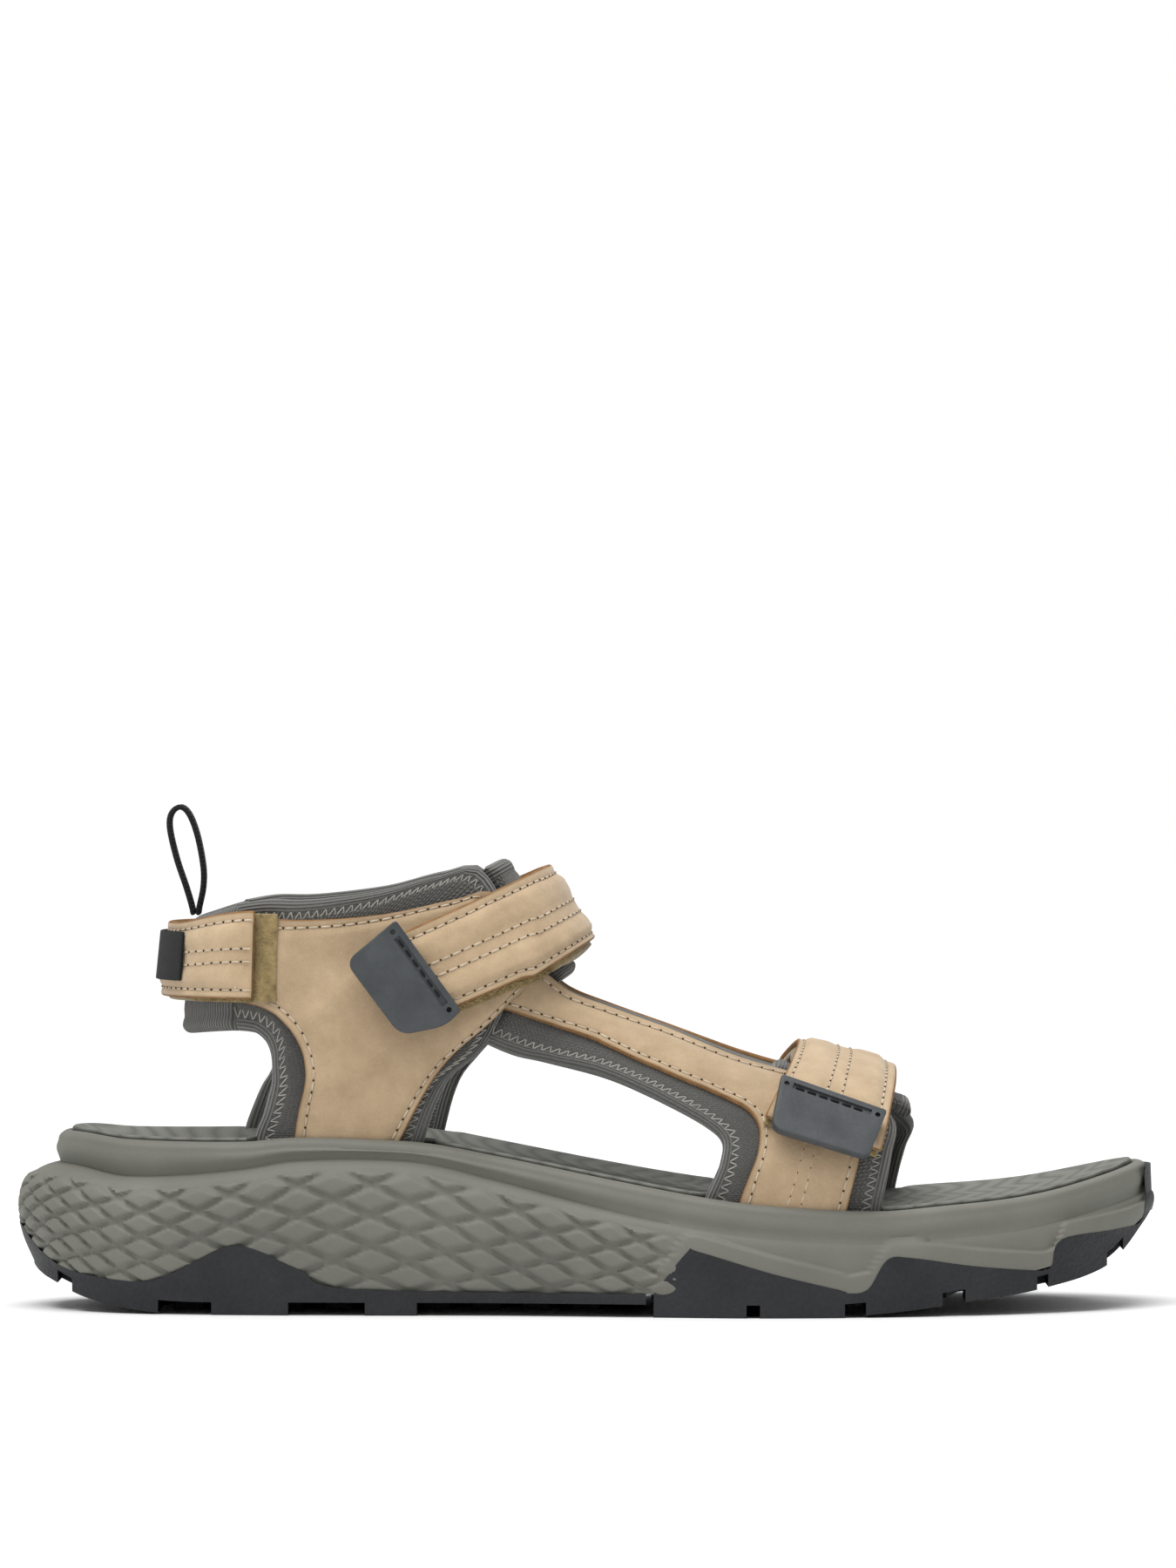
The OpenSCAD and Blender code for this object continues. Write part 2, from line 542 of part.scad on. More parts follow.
module heel_lining() {
    color(knit) heel_band([for (s = [[-49, 73.4, 106.4], [-25, 72.5, 104], [0, 72, 103], [25, 72.5, 104],
        [49, 73.4, 106.4]]) concat(s, [0, lining_t])]);
}
module heel_leather() {
    color(sand) heel_band([for (s = [[-48, 83, 101.5], [-25, 83, 100.5], [0, 83, 100], [25, 83, 100.5],
        [48, 83, 101.5]]) concat(s, [leather_low, leather_low + leather_t])]);
}
module heel_loop_patch() {
    color(khaki) heel_band(heel_even(-73, -42, 0.6, heel_patch_low, heel_patch_low + tape_t), fine = 2);
}
module heel_strap_base() {
    sewn = heel_patch_low;
    color(sand) heel_band(concat(
        heel_even(heel_seam + heel_seam_half, 42, 0, heel_strap_low, heel_strap_high),
        heel_even(62, heel_sewn, 0, sewn, sewn + leather_t)), fine = 2);
}
module heel_backing() {
    color(khaki) heel_band(heel_even(heel_seam + heel_seam_half, 40, 0.4, heel_patch_low,
        heel_strap_low - layer_gap));
}
module heel_strap_tail() {
    color(sand) heel_band(heel_even(heel_end, heel_seam - heel_seam_half, 0, heel_strap_low, heel_strap_high),
        fine = 2);
}
module heel_hook_tape() {
    color(khaki) heel_band(heel_even(heel_end + 1, heel_seam - heel_seam_half, 0.4, heel_tape_low,
        heel_tape_low + tape_t), fine = 2);
}
module heel_label() {
    low = heel_strap_high + layer_gap;
    color(black) heel_band([for (a = [-33, -11, 11, 33]) [a, 86.4, 99.2, low, low + 0.8]]);
}

// Pull loop: a strip of webbing folded into a drop, standing on the back of the collar.
loop_path = [[-104.4, 105], [-106, 110.5], [-108.5, 118], [-110.3, 126], [-109.8, 130], [-107.4, 131.6],
    [-105.1, 129.6], [-103, 124], [-101.5, 116], [-101.5, 110.5], [-102.6, 105]];
loop_t = 1.4;
module heel_pull_loop() {
    steps = 4 * (len(loop_path) - 1);
    line = [for (i = [0 : steps]) along(loop_path, i * (len(loop_path) - 1) / steps)];
    side = [for (i = [0 : steps])
        let (d = unit(line[min(steps, i + 1)] - line[max(0, i - 1)])) [-d[1], d[0]] * loop_t / 2];
    color(black) rotate([90, 0, 0]) linear_extrude(height = loop_w, center = true)
        polygon(concat([for (i = [0 : steps]) line[i] + side[i]],
            [for (i = [steps : -1 : 0]) line[i] - side[i]]));
}

// ---- Pull tabs ----

// Flat tab with a stitch slot and two dimples. X points to its free end, Z away from the foot.
// outline lists [share of the length, share of the width] corners.
module tab(outline, length) {
    difference() {
        linear_extrude(height = tab_t) polygon([for (p = outline) [p[0] * length, p[1] * tab_w]]);
        translate([1.6, -tab_w * 0.37, tab_t - 0.7]) cube([1.8, tab_w * 0.74, 2]);
        for (y = [-0.43, 0.43]) translate([2.5, tab_w * y, tab_t - 0.7]) cylinder(d = 1.4, h = 2, $fn = 16);
    }
}
tab_skew = 13; // the instep tab's turn from the strap's own direction
instep_tab_outline = [[0, 0.48], [0.04, 0.5], [0.3, 0.52], [0.36, 0.51], [0.94, 0.36], [1, 0.3], [1, -0.43],
    [0.96, -0.46], [0.04, -0.5], [0, -0.48]];
forefoot_tab_outline = [[0, 0.48], [0.04, 0.5], [0.9, 0.45], [1, 0.4], [1, -0.38], [0.8, -0.48], [0.04, -0.5],
    [0, -0.48]];

// Puts a tab on a band: p is its middle and q a point further down, both in form coordinates.
module on_band(p, q, depth) {
    at = lift_off(p, depth);
    n = form_normal(p);
    way = form(q) - form(p);
    run = unit(way - (way * n) * n);
    over = cross(n, run);
    multmatrix([for (i = [0 : 2]) [run[i], over[i], n[i], at[i]]])
        children();
}

module instep_pull_tab() {
    color(black) on_band(band_point(instep_band, -37, 0.5), band_point(instep_band, -40, 0.5),
        instep_strap_high + layer_gap) rotate([0, 0, tab_skew]) translate([-8, 0, 0])
        tab(instep_tab_outline, tab_l);
}
module forefoot_pull_tab() {
    color(black) on_band(band_point(forefoot_band, -14.2, 0.5), band_point(forefoot_band, -16, 0.5),
        forefoot_strap_high + layer_gap) translate([-8, 0, 0]) tab(forefoot_tab_outline, tab_l);
}

// ---- Sole parts ----

module midsole() { color(grey) one_mesh() midsole_shape(); }
module outsole_rear() { color(black) outsole(rear_edge, rear_side_lugs, -134, 8); }
module outsole_front() { color(black) outsole(front_edge, front_side_lugs, 22, 138); }
module insole_board() { color(khaki) bed_layer(-pocket_depth + 0.2, -pocket_depth + 1.4, [0, 0]); }
module footbed_foam() { color(grey) bed_layer(-pocket_depth + 1.6, -0.4, [0, 1]); }
module footbed_cover() { color(knit) bed_layer(-0.2, 1, [1, 1]); }

sized() midsole();
sized() outsole_rear();
sized() outsole_front();
sized() insole_board();
sized() footbed_foam();
sized() footbed_cover();
sized() quarter_lining(lat);  // quarter_lining_lateral
sized() quarter_lining(med);  // quarter_lining_medial
sized() heel_lining();
sized() vamp_lining(lat);  // vamp_lining_lateral
sized() vamp_lining(med);  // vamp_lining_medial
sized() instep_pad();
sized() forefoot_pad();
sized() quarter_leather(lat);  // quarter_leather_lateral
sized() quarter_leather(med);  // quarter_leather_medial
sized() heel_leather();
sized() vamp_leather(lat);  // vamp_leather_lateral
sized() vamp_leather(med);  // vamp_leather_medial
sized() instep_loop_patch();
sized() instep_backing();
sized() instep_strap_base();
sized() instep_strap_tail();
sized() instep_hook_tape();
sized() instep_pull_tab();
sized() forefoot_loop_patch();
sized() forefoot_backing();
sized() forefoot_strap_base();
sized() forefoot_strap_tail();
sized() forefoot_hook_tape();
sized() forefoot_pull_tab();
sized() heel_loop_patch();
sized() heel_backing();
sized() heel_strap_base();
sized() heel_strap_tail();
sized() heel_hook_tape();
sized() heel_label();
sized() heel_pull_loop();
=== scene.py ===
"""Looks of the strappy sport sandal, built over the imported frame. Lengths here are millimetres, as in the
CAD source, and turn into metres when a mesh is made."""

import math

import bmesh
import bpy
import numpy as np
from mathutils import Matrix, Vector


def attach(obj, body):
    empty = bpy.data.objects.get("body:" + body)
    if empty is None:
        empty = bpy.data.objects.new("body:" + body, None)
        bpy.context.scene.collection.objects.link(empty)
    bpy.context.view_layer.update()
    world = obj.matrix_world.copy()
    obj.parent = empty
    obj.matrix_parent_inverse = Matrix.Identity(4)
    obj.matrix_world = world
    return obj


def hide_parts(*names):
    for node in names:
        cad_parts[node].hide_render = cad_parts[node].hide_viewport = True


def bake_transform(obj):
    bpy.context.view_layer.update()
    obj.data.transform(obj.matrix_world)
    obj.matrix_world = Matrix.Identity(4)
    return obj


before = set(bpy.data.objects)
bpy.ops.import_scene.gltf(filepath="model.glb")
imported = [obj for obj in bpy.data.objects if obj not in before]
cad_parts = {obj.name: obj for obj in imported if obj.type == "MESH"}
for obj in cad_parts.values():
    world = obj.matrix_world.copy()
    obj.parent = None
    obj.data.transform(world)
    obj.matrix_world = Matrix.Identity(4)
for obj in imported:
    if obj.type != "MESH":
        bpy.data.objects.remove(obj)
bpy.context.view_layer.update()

MM = 0.001
LAT, MED = -1, 1
PI = math.pi

# ---- Sizes shared with the CAD source ----

RIM_WALL = 3.5
POCKET_DEPTH = 8
WRAP = 1.3
LUG_DEPTH = 3.4
LINING = 4.0
LEATHER = 1.8
TAPE = 1.0
GAP = 0.3
PEEL = 0.35
TAB_W, TAB_L, TAB_T = 29.0, 17.0, 2.6
TAB_DENT = 0.7  # depth of a pull tab's slot and dimples
HEEL_X, TOE_X = -139.9, 147.7

RIM_LAT = [[-140, 39], [-100, 40.5], [-60, 41.5], [-20, 43.5], [20, 51], [42, 54.8], [70, 53.8], [100, 49],
           [125, 44], [148, 38]]
RIM_MED = [[-140, 37], [-100, 38], [-60, 36.5], [-25, 34], [5, 37], [35, 46], [62, 53.3], [90, 52.7],
           [115, 48], [148, 40]]
CENTRE = [[-140, 0], [40, 0], [100, 3], [148, 8]]
RIM_Z = [[-141, 46.2], [-133, 46.6], [-120, 45.2], [-90, 44.9], [-77, 46], [-52, 45.4], [-40, 44.4],
         [-26, 41.8], [6, 35.4], [29, 31.2], [47, 28.9], [75, 27.4], [93, 28.6], [109, 30], [121, 31.9],
         [134, 35], [148, 38.8]]
FLOOR_Z = [[-141, 12], [-130, 8.6], [-113, 6.4], [-60, 6], [15, 6], [65, 6], [90, 7.5], [112, 10.5],
           [130, 15], [141, 20], [148, 25]]
TREAD_Z = [[-150, 19.5], [-147.5, 13], [-144, 9.6], [-139, 7.2], [-133, 4.4], [-123, 1.8], [-112, 0.4],
           [-104, 0], [-90, 0], [55, 0], [66, 0.2], [75, 0.9], [88, 2.2], [100, 3.9], [113, 5.6],
           [122, 7.4], [130, 9.4], [137, 12.4], [141.5, 16.6], [146, 22], [148.5, 25], [151, 31]]
GROOVE_DROP = [[-141, 8], [-120, 9.6], [-77, 6], [-50, 5], [-26, 6.2], [6, 8], [30, 8.5], [148, 8.5]]
BULGE = [[-141, 9.5], [-120, 7.5], [-100, 5.5], [-50, 4.5], [0, 3.5], [25, 1.6], [60, 1.2], [148, 1.2]]
GROOVE_FADE = [[-141, 1], [-10, 1], [25, 0], [148, 0]]
WALL = [[0, 0.55], [0.25, 0.85], [0.5, 1], [0.72, 0.95], [0.88, 0.72], [0.97, 0.3], [1, 0]]
DISH = [[-141, 1.5], [-110, 4.5], [-80, 4.5], [-30, 2], [30, 1.2], [148, 1]]

REAR_EDGE = [[-152, 21.8], [-149.3, 21.8], [-144.8, 16.4], [-138, 11.7], [-128, 9.4], [-116, 8.6],
             [-108, 11], [-98, 16.4], [-94, 18], [-91.5, 18.4], [-89, 18], [-84.3, 16.4], [-74.2, 11.7],
             [-60.6, 6.9], [15, 6.1]]
FRONT_EDGE = [[17, 6.1], [25.5, 17], [28.7, 17.2], [48, 11.5], [65.5, 7.2], [67, 6.4], [72.5, 7.4],
              [77.5, 15], [84, 15.4], [100, 13], [116.5, 11.4], [119, 11.6], [121, 12.6], [123.6, 19.3],
              [139, 21.2], [145.6, 22.6], [147, 28.5], [147.2, 36.6], [153, 36.6]]
REAR_LUGS = [[-156, -139], [-135, -112], [-98, -78], [-58, -44.5]]
FRONT_LUGS = [[16, 41], [44.5, 66.5], [72, 92], [98, 117], [120, 136], [140.5, 156]]
LUG_REACH = 17
CHEVRON_STEP = 13

RIDGE = [[-120, 269.6], [-60, 173], [-40, 140.8], [-22.1, 111.9], [-8.3, 89.6], [3, 80], [19, 73.5],
         [38, 65.8], [51, 60.5], [64, 57.4], [76, 54], [84, 50.4], [95, 45], [115, 38]]
SHOULDER = [[-60, 42], [-10, 42], [20, 30], [50, 23], [80, 22], [115, 20]]
ANKLE_HALF = 31
BASE_INSET = 10.1
HEEL_CENTRE = -70
HEEL_REACH = 31
HEEL_LEAN = 0.1
HEEL_MID = 91

QUARTER_IN = [[-90, 81], [-86.5, 80.6], [-83, 79.6], [-79.5, 77.5], [-76, 73.7], [-73.7, 68.7],
              [-72.8, 63], [-73.2, 58.3], [-74.4, 52.6], [-75.6, 45.5], [-76.3, 40]]
QUARTER_OUT = [[-89, 102.5], [-82, 102.8], [-72, 102.7], [-54, 103.6], [-38, 106], [-28.5, 106],
               [-19, 88], [-25.6, 76.5], [-38, 64.1], [-48.7, 45], [-50.5, 38.5]]
OVER_BAR = LEATHER + GAP
QUARTER_LIFT = [0, 0, 0, 0.4, OVER_BAR * 0.9, OVER_BAR, OVER_BAR, OVER_BAR, OVER_BAR / 2, 0, 0]
LINING_IN = [[-90, 73.4], [-87, 73.2], [-85, 72.6], [-82.9, 70.4], [-81.8, 67], [-81.6, 62.5],
             [-81.9, 59.3], [-82.8, 56], [-84, 51.5], [-86, 46], [-86.6, 39.8]]
LINING_OUT = [[-89.6, 106.6], [-82, 107.9], [-72, 108], [-54, 110], [-40, 113.4], [-29, 113.5],
              [-20.5, 93], [-25.8, 71], [-36.5, 60.5], [-42.5, 45.5], [-43.5, 38.5]]
VAMP_OUT = [[-16.5, 88], [-7, 80.2], [3, 75.4], [19, 69.3], [36, 62.2], [51, 57.4], [65, 53.5],
            [70.5, 47.5], [69.5, 40.5], [66.5, 28], [65.5, 22]]
VAMP_IN = [[-26.4, 79], [-15, 74.4], [1, 68], [17, 61], [33, 54], [40, 50.5], [43.5, 46.5], [43.8, 41.5],
           [41.7, 35.8], [39.5, 29], [38.6, 23.5]]
VAMP_LINING_OUT = [[-15, 88], [-5.5, 80.8], [4, 76.9], [20, 70.9], [37, 63.3], [51.5, 58.5], [70, 54.2],
                   [79, 47.5], [77.8, 39.5], [75.8, 28], [75.3, 21.5]]
VAMP_LINING_IN = [[-28.5, 70.5], [-20, 66.6], [-11.5, 64.5], [6, 59.8], [21, 53.4], [30.4, 48.4],
                  [34.8, 44.5], [34.6, 40], [33, 35.8], [30.5, 30], [29.4, 25]]
MEDIAL_SHIFT = [[-120, -3.5], [-75, -3.5], [-49, 3.5], [0, 5], [29, 6.5], [110, 6.5]]

LEATHER_LOW = LINING + GAP
OVER_LOW = LEATHER_LOW + OVER_BAR
INSTEP_PATCH = OVER_LOW + LEATHER + GAP
INSTEP_TAPE = INSTEP_PATCH + TAPE + PEEL
INSTEP_STRAP = INSTEP_TAPE + TAPE + GAP
FORE_PATCH = OVER_LOW
FORE_TAPE = FORE_PATCH + TAPE + PEEL
FORE_STRAP = FORE_TAPE + TAPE + GAP
HEEL_PATCH = LEATHER_LOW + LEATHER + GAP
HEEL_TAPE = HEEL_PATCH + TAPE + PEEL
HEEL_STRAP = HEEL_TAPE + TAPE + GAP

INSTEP_BAND = [-21, -8, 22, 20]
INSTEP_TAPE_BAND = [-20.4, -6.9, 22, 20]
INSTEP_PAD_BAND = [-25, -5.5, 28, 30]
INSTEP_END, INSTEP_SEAM, INSTEP_SEWN, INSTEP_PAD_HALF = -35, -9, 36, 4.0
FORE_BAND = [52.5, 77.5, 59, 73]
FORE_TAPE_BAND = [52.6, 77.4, 59, 73]
FORE_PAD_BAND = [48, 84, 70, 88]
FORE_END, FORE_SEAM, FORE_SEWN, FORE_PAD_HALF = -15.6, -2, 16, 1.2
HEEL_END, HEEL_SEWN, HEEL_SEAM = -65, 82, -36
HEEL_STRAP_W = 20.5


# ---- Curves ----

def clamp(v, low=0.0, high=1.0):
    return np.minimum(high, np.maximum(low, v))


def smooth(v):
    t = clamp(v)
    return t * t * (3 - 2 * t)


def mix(a, b, t):
    return a + (b - a) * t


def curve(table, x):
    """Height of the smooth curve through [x, value] pairs."""
    x, p = np.asarray(x, float), np.asarray(table, float)
    i = np.searchsorted(p[1:-1, 0], x, side="right")
    after, before = np.vstack([p[1:], p[-1:]]), np.vstack([p[:1], p[:-1]])
    slope = (after[:, 1] - before[:, 1]) / (after[:, 0] - before[:, 0])
    w, d = p[i + 1, 0] - p[i, 0], p[i + 1, 1] - p[i, 1]
    t = clamp((x - p[i, 0]) / w)
    m, n = slope[i] * w, slope[i + 1] * w
    return p[i, 1] + t * (m + t * (3 * d - 2 * m - n + t * (m + n - 2 * d)))


def along(table, u):
    """Points of the smooth curve through a list, at u from 0 to its last index."""
    p, u = np.asarray(table, float), np.asarray(u, float)
    last = len(p) - 1
    i = np.clip(np.floor(u).astype(int), 0, last - 1)
    t = u - i
    if p.ndim == 2:
        t = t[..., None]
    a, b, c, d = p[np.maximum(i - 1, 0)], p[i], p[i + 1], p[np.minimum(i + 2, last)]
    return b + 0.5 * t * (c - a + t * (2 * a - 5 * b + 4 * c - d + t * (3 * (b - c) + d - a)))


def unit(v):
    return v / np.maximum(1e-9, np.linalg.norm(v, axis=-1, keepdims=True))


# ---- Sole outline ----

def end_round(x):
    q = np.abs(2 * x - TOE_X - HEEL_X) / (TOE_X - HEEL_X)
    return np.sqrt(clamp(1 - q ** 6.5))


def rim_y(x, side):
    width = np.where(np.asarray(side) < 0, curve(RIM_LAT, x), curve(RIM_MED, x))
    return curve(CENTRE, x) + side * width * end_round(x)


def rim_point(angle):
    x = (TOE_X + HEEL_X) / 2 + (TOE_X - HEEL_X) / 2 * np.cos(angle)
    return np.stack([x, rim_y(x, np.where(np.sin(angle) > 0, LAT, MED))], -1)


def rim_normal(angle):
    d = unit(rim_point(angle - 0.015) - rim_point(angle + 0.015))
    return np.stack([d[..., 1], -d[..., 0]], -1)


def groove_z(x):
    return curve(RIM_Z, x) - curve(GROOVE_DROP, x)


# ---- The form that the upper is draped on ----

def reach(z):
    return HEEL_REACH - HEEL_LEAN * (z - HEEL_MID)


def slant(x):
    return np.sqrt(1 + (curve(RIDGE, x + 0.5) - curve(RIDGE, x - 0.5)) ** 2)


def form_half(x, z, side):
    base = side * (rim_y(x, side) - curve(CENTRE, x)) - BASE_INSET
    top = mix(ANKLE_HALF, base, smooth((x + 5) / 35))
    return mix(base, top, smooth((z - curve(RIM_Z, x)) / 35))


def form(s, a):
    side, a = np.where(a < 0, LAT, MED), np.abs(a)
    turn = np.maximum(HEEL_CENTRE - s, 0) / HEEL_REACH
    x0 = np.maximum(s, HEEL_CENTRE - HEEL_REACH)
    depth = curve(SHOULDER, x0) * np.where(a < PI / 2, 1 - np.cos(a), 1 + a - PI / 2)
    z = curve(RIDGE, x0) - depth * slant(x0)
    x = np.where(s > HEEL_CENTRE, s, HEEL_CENTRE - reach(z) * np.sin(turn))
    share = np.sin(np.minimum(a, PI / 2)) * np.cos(np.minimum(turn, PI))
    return np.stack([x, curve(CENTRE, x) + side * share * form_half(x, z, side), z], -1)


def form_normal(s, a):
    ds = form(s + 0.4, a) - form(s - 0.4, a)
    da = form(s, a + 0.01) - form(s, a - 0.01)
    return unit(np.cross(ds, da))


def lift_off(s, a, depth):
    return form(s, a) + np.asarray(depth)[..., None] * form_normal(s, a)


def to_form(x, z, side):
    turn = np.arcsin(clamp((HEEL_CENTRE - x) / reach(z), 0, 0.999))
    s = np.where(x > HEEL_CENTRE, x, HEEL_CENTRE - HEEL_REACH * turn)
    x0 = np.maximum(s, HEEL_CENTRE - HEEL_REACH)
    depth = np.maximum(curve(RIDGE, x0) - z, 0) / slant(x0) / curve(SHOULDER, x0)
    a = np.where(depth < 1, np.arccos(clamp(1 - depth, -1, 1)), PI / 2 + depth - 1)
    return s, side * a


def to_medial(p):
    x0, z0 = p[..., 0], p[..., 1]
    fade = 1 - smooth((z0 - 50) / 22)
    x = x0 + curve(MEDIAL_SHIFT, x0) * fade
    share = clamp((z0 - curve(RIM_Z, x0)) / 30)
    z = z0 + (1 - share) * (curve(RIM_Z, x) - curve(RIM_Z, x0)) + share * fade * (
        curve(RIDGE, x) - curve(RIDGE, x0))
    return np.stack([x, z], -1)


def panel_surface(rail_a, rail_b, side):
    """Surface between two rails of side-view points: u is the station, t runs from rail a to rail b."""
    a_points, b_points = np.asarray(rail_a, float), np.asarray(rail_b, float)
    if side == MED:
        a_points, b_points = to_medial(a_points), to_medial(b_points)

    def surface(u, t, depth):
        p = mix(along(a_points, u), along(b_points, u), np.asarray(t)[..., None])
        s, a = to_form(p[..., 0], p[..., 1], side)
        return lift_off(s, a, depth)
    return surface


def band_surface(band):
    """Surface of a band over the top. u is the signed root of the distance down from the ridge."""
    def surface(u, t, depth):
        x, fall = mix(band[0], band[1], t), np.radians(mix(band[2], band[3], t))
        d = u * u
        s, a = to_form(x - d * np.cos(fall), curve(RIDGE, x) - d * np.sin(fall), np.where(u < 0, LAT, MED))
        return lift_off(s, a, depth)
    return surface


def heel_form(angle, z):
    side = np.where(angle < 0, LAT, MED)
    turn = clamp(PI / 2 - np.abs(angle), 0, PI / 2)
    beyond = HEEL_CENTRE + HEEL_REACH * (np.abs(angle) - PI / 2)
    x = np.where(np.abs(angle) > PI / 2, beyond, HEEL_CENTRE - reach(z) * np.sin(turn))
    return np.stack([x, curve(CENTRE, x) + side * np.cos(turn) * form_half(x, z, side), z], -1)


def heel_surface(low_z, high_z):
    """Band round the heel between two heights. u is the angle in degrees, t runs up."""
    def surface(u, t, depth):
        angle, z = np.radians(u), mix(low_z(u), high_z(u), t)
        d = heel_form(angle + 0.02, z) - heel_form(angle - 0.02, z)
        n = unit(np.cross(d, np.broadcast_to([0.0, 0.0, 1.0], d.shape)))
        return heel_form(angle, z) - np.asarray(depth)[..., None] * n
    return surface


def bed_surface(u, t, depth):
    """Surface across the footbed pocket. u is the angle from toe to heel, t runs to the medial side."""
    def edge(side, slots):
        angle = u if side == LAT else 2 * PI - u
        p, n = rim_point(angle), rim_normal(angle)
        inset = RIM_WALL + 0.3
        for x0, x1 in slots:
            inside = smooth((p[..., 0] - x0) / 2) * smooth((x1 - p[..., 0]) / 2)
            inset = inset + inside * (BASE_INSET + 0.6 - RIM_WALL - 0.3)
        return p - np.asarray(inset + 0 * u)[..., None] * n

    a, b = edge(LAT, [[-89, -38], [27, 79]]), edge(MED, [[-93, -34], [32, 87]])
    p = mix(a, b, np.asarray(t)[..., None])
    across = np.minimum(t, 1 - t) * np.linalg.norm(b - a, axis=-1)
    ends = np.minimum(p[..., 0] - HEEL_X, TOE_X - p[..., 0]) - RIM_WALL
    dish = curve(DISH, p[..., 0]) * smooth(np.minimum(across, ends) / 24) * clamp((depth + 6.4) / 6.4)
    return np.stack([p[..., 0], p[..., 1], curve(RIM_Z, p[..., 0]) - dish + depth], -1)


# ---- Meshes ----

def make(name, points, faces, materials, body, kinds=None, cloth=None, sharp=40, nodes=(), slot=None):
    """Mesh object from points in millimetres, facing outwards, riding on a body."""
    mesh = bpy.data.meshes.new(name)
    mesh.from_pydata((np.asarray(points) * MM).tolist(), [], faces)
    for m in materials:
        mesh.materials.append(m)
    if kinds is not None:
        mesh.polygons.foreach_set("material_index", np.asarray(kinds, np.int32))
    if cloth is not None:
        layer = mesh.attributes.new("cloth", "FLOAT_VECTOR", "POINT")
        layer.data.foreach_set("vector", np.asarray(cloth, np.float32).ravel())
    work = bmesh.new()
    work.from_mesh(mesh)
    bmesh.ops.remove_doubles(work, verts=work.verts, dist=0.00002)
    bmesh.ops.recalc_face_normals(work, faces=work.faces)
    if work.calc_volume(signed=True) < 0:
        bmesh.ops.reverse_faces(work, faces=work.faces)
    work.to_mesh(mesh)
    work.free()
    mesh.shade_smooth()
    mesh.set_sharp_from_angle(angle=math.radians(sharp))
    thing = bpy.data.objects.new(name, mesh)
    bpy.context.scene.collection.objects.link(thing)
    if body:
        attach(thing, body)
    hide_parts(*nodes)
    return thing


def widths(surface, u, depth):
    """Width of a surface at each station."""
    t = np.linspace(0, 1, 13) + 0 * u[:, None]
    grid = surface(u[:, None] + 0 * t, t, (depth + 0 * u)[:, None] + 0 * t)
    return np.linalg.norm(np.diff(grid, axis=1), axis=2).sum(1)


def lengths(surface, u, depth):
    """Distance along the middle of a surface at each station."""
    mid = surface(u, 0.5 + 0 * u, depth + 0 * u)
    return np.r_[0, np.cumsum(np.linalg.norm(np.diff(mid, axis=0), axis=1))]


def spread(surface, u0, u1, step, depth=5.0):
    """Stations from u0 to u1 about step apart, and closer together at both ends."""
    fine = np.linspace(u0, u1, 600)
    length = lengths(surface, fine, depth)
    total = length[-1]
    near = np.array([0.12, 0.4, 0.9])
    want = np.unique(np.r_[np.linspace(0, total, max(4, int(total / step))), near, total - near])
    return np.interp(want, length, fine)


def strip(name, surface, u, low, high, materials, body, step=1.3, radius=None, puff=None, **more):
    """Closed slab on a surface, with rounded edges and ends.

    puff(across, width, run) lifts the outer face."""
    low, high = low + 0 * u, high + 0 * u
    mid, half = (low + high) / 2, (high - low) / 2
    width, run = widths(surface, u, mid), lengths(surface, u, mid)
    near = clamp(np.minimum(run, run[-1] - run) / np.maximum(0.3, half), 0.1, 1)
    half = half * np.sqrt(1 - (1 - near) ** 2)
    r = np.minimum(half if radius is None else radius, width / 2.2)
    bend = np.linspace(0, PI / 2, 5)[:-1]
    flat = np.linspace(0, 1, max(4, int(width.max() / step)) + 1)
    share = np.r_[0 * bend, flat, 1 + 0 * bend]
    push = np.r_[1 - np.cos(bend), 1 - 2 * flat, np.cos(bend[::-1]) - 1]
    turn = np.r_[np.sin(bend), 1 + 0 * flat, np.sin(bend[::-1])]
    across = share * width[:, None] + push * r[:, None]
    extra = 0 if puff is None else puff(across, width[:, None], run[:, None]) * turn
    t = across / width[:, None]
    uu = u[:, None] + 0 * t
    outer = surface(uu, t, mid[:, None] + half[:, None] * turn + extra)
    inner = surface(uu, t, mid[:, None] - half[:, None] * turn)
    n, m = t.shape
    k = 2 * m - 2
    loop = np.concatenate([outer, inner[:, -2:0:-1]], axis=1).reshape(-1, 3)
    edge = np.minimum(across, width[:, None] - across)
    cloth = np.stack([run[:, None] + 0 * t, across, edge], -1)
    cloth = np.concatenate([cloth, cloth[:, -2:0:-1]], axis=1).reshape(-1, 3)
    i, j = np.meshgrid(np.arange(n - 1), np.arange(k), indexing="ij")
    j2 = (j + 1) % k
    faces = np.stack([i * k + j, i * k + j2, (i + 1) * k + j2, (i + 1) * k + j], -1).reshape(-1, 4).tolist()
    full = np.r_[turn, turn[-2:0:-1]]
    rim = full + np.roll(full, -1) < 1.9
    kinds = np.tile(rim.astype(int), n - 1).tolist()
    for row in (0, (n - 1) * k):
        for c in range(m - 1):
            corners = [row + c, row + c + 1, row + k - c - 1, row + (k - c) % k]
            faces.append(list(dict.fromkeys(corners)))
            kinds.append(1)
    return make(name, loop, faces, materials, body, kinds if len(materials) > 1 else None, cloth, **more)


def resample(points, step):
    d = np.r_[0, np.cumsum(np.linalg.norm(np.diff(points, axis=0), axis=1))]
    want = np.linspace(0, d[-1], max(2, int(round(d[-1] / step)) + 1))
    return np.stack([np.interp(want, d, points[:, k]) for k in range(3)], -1)


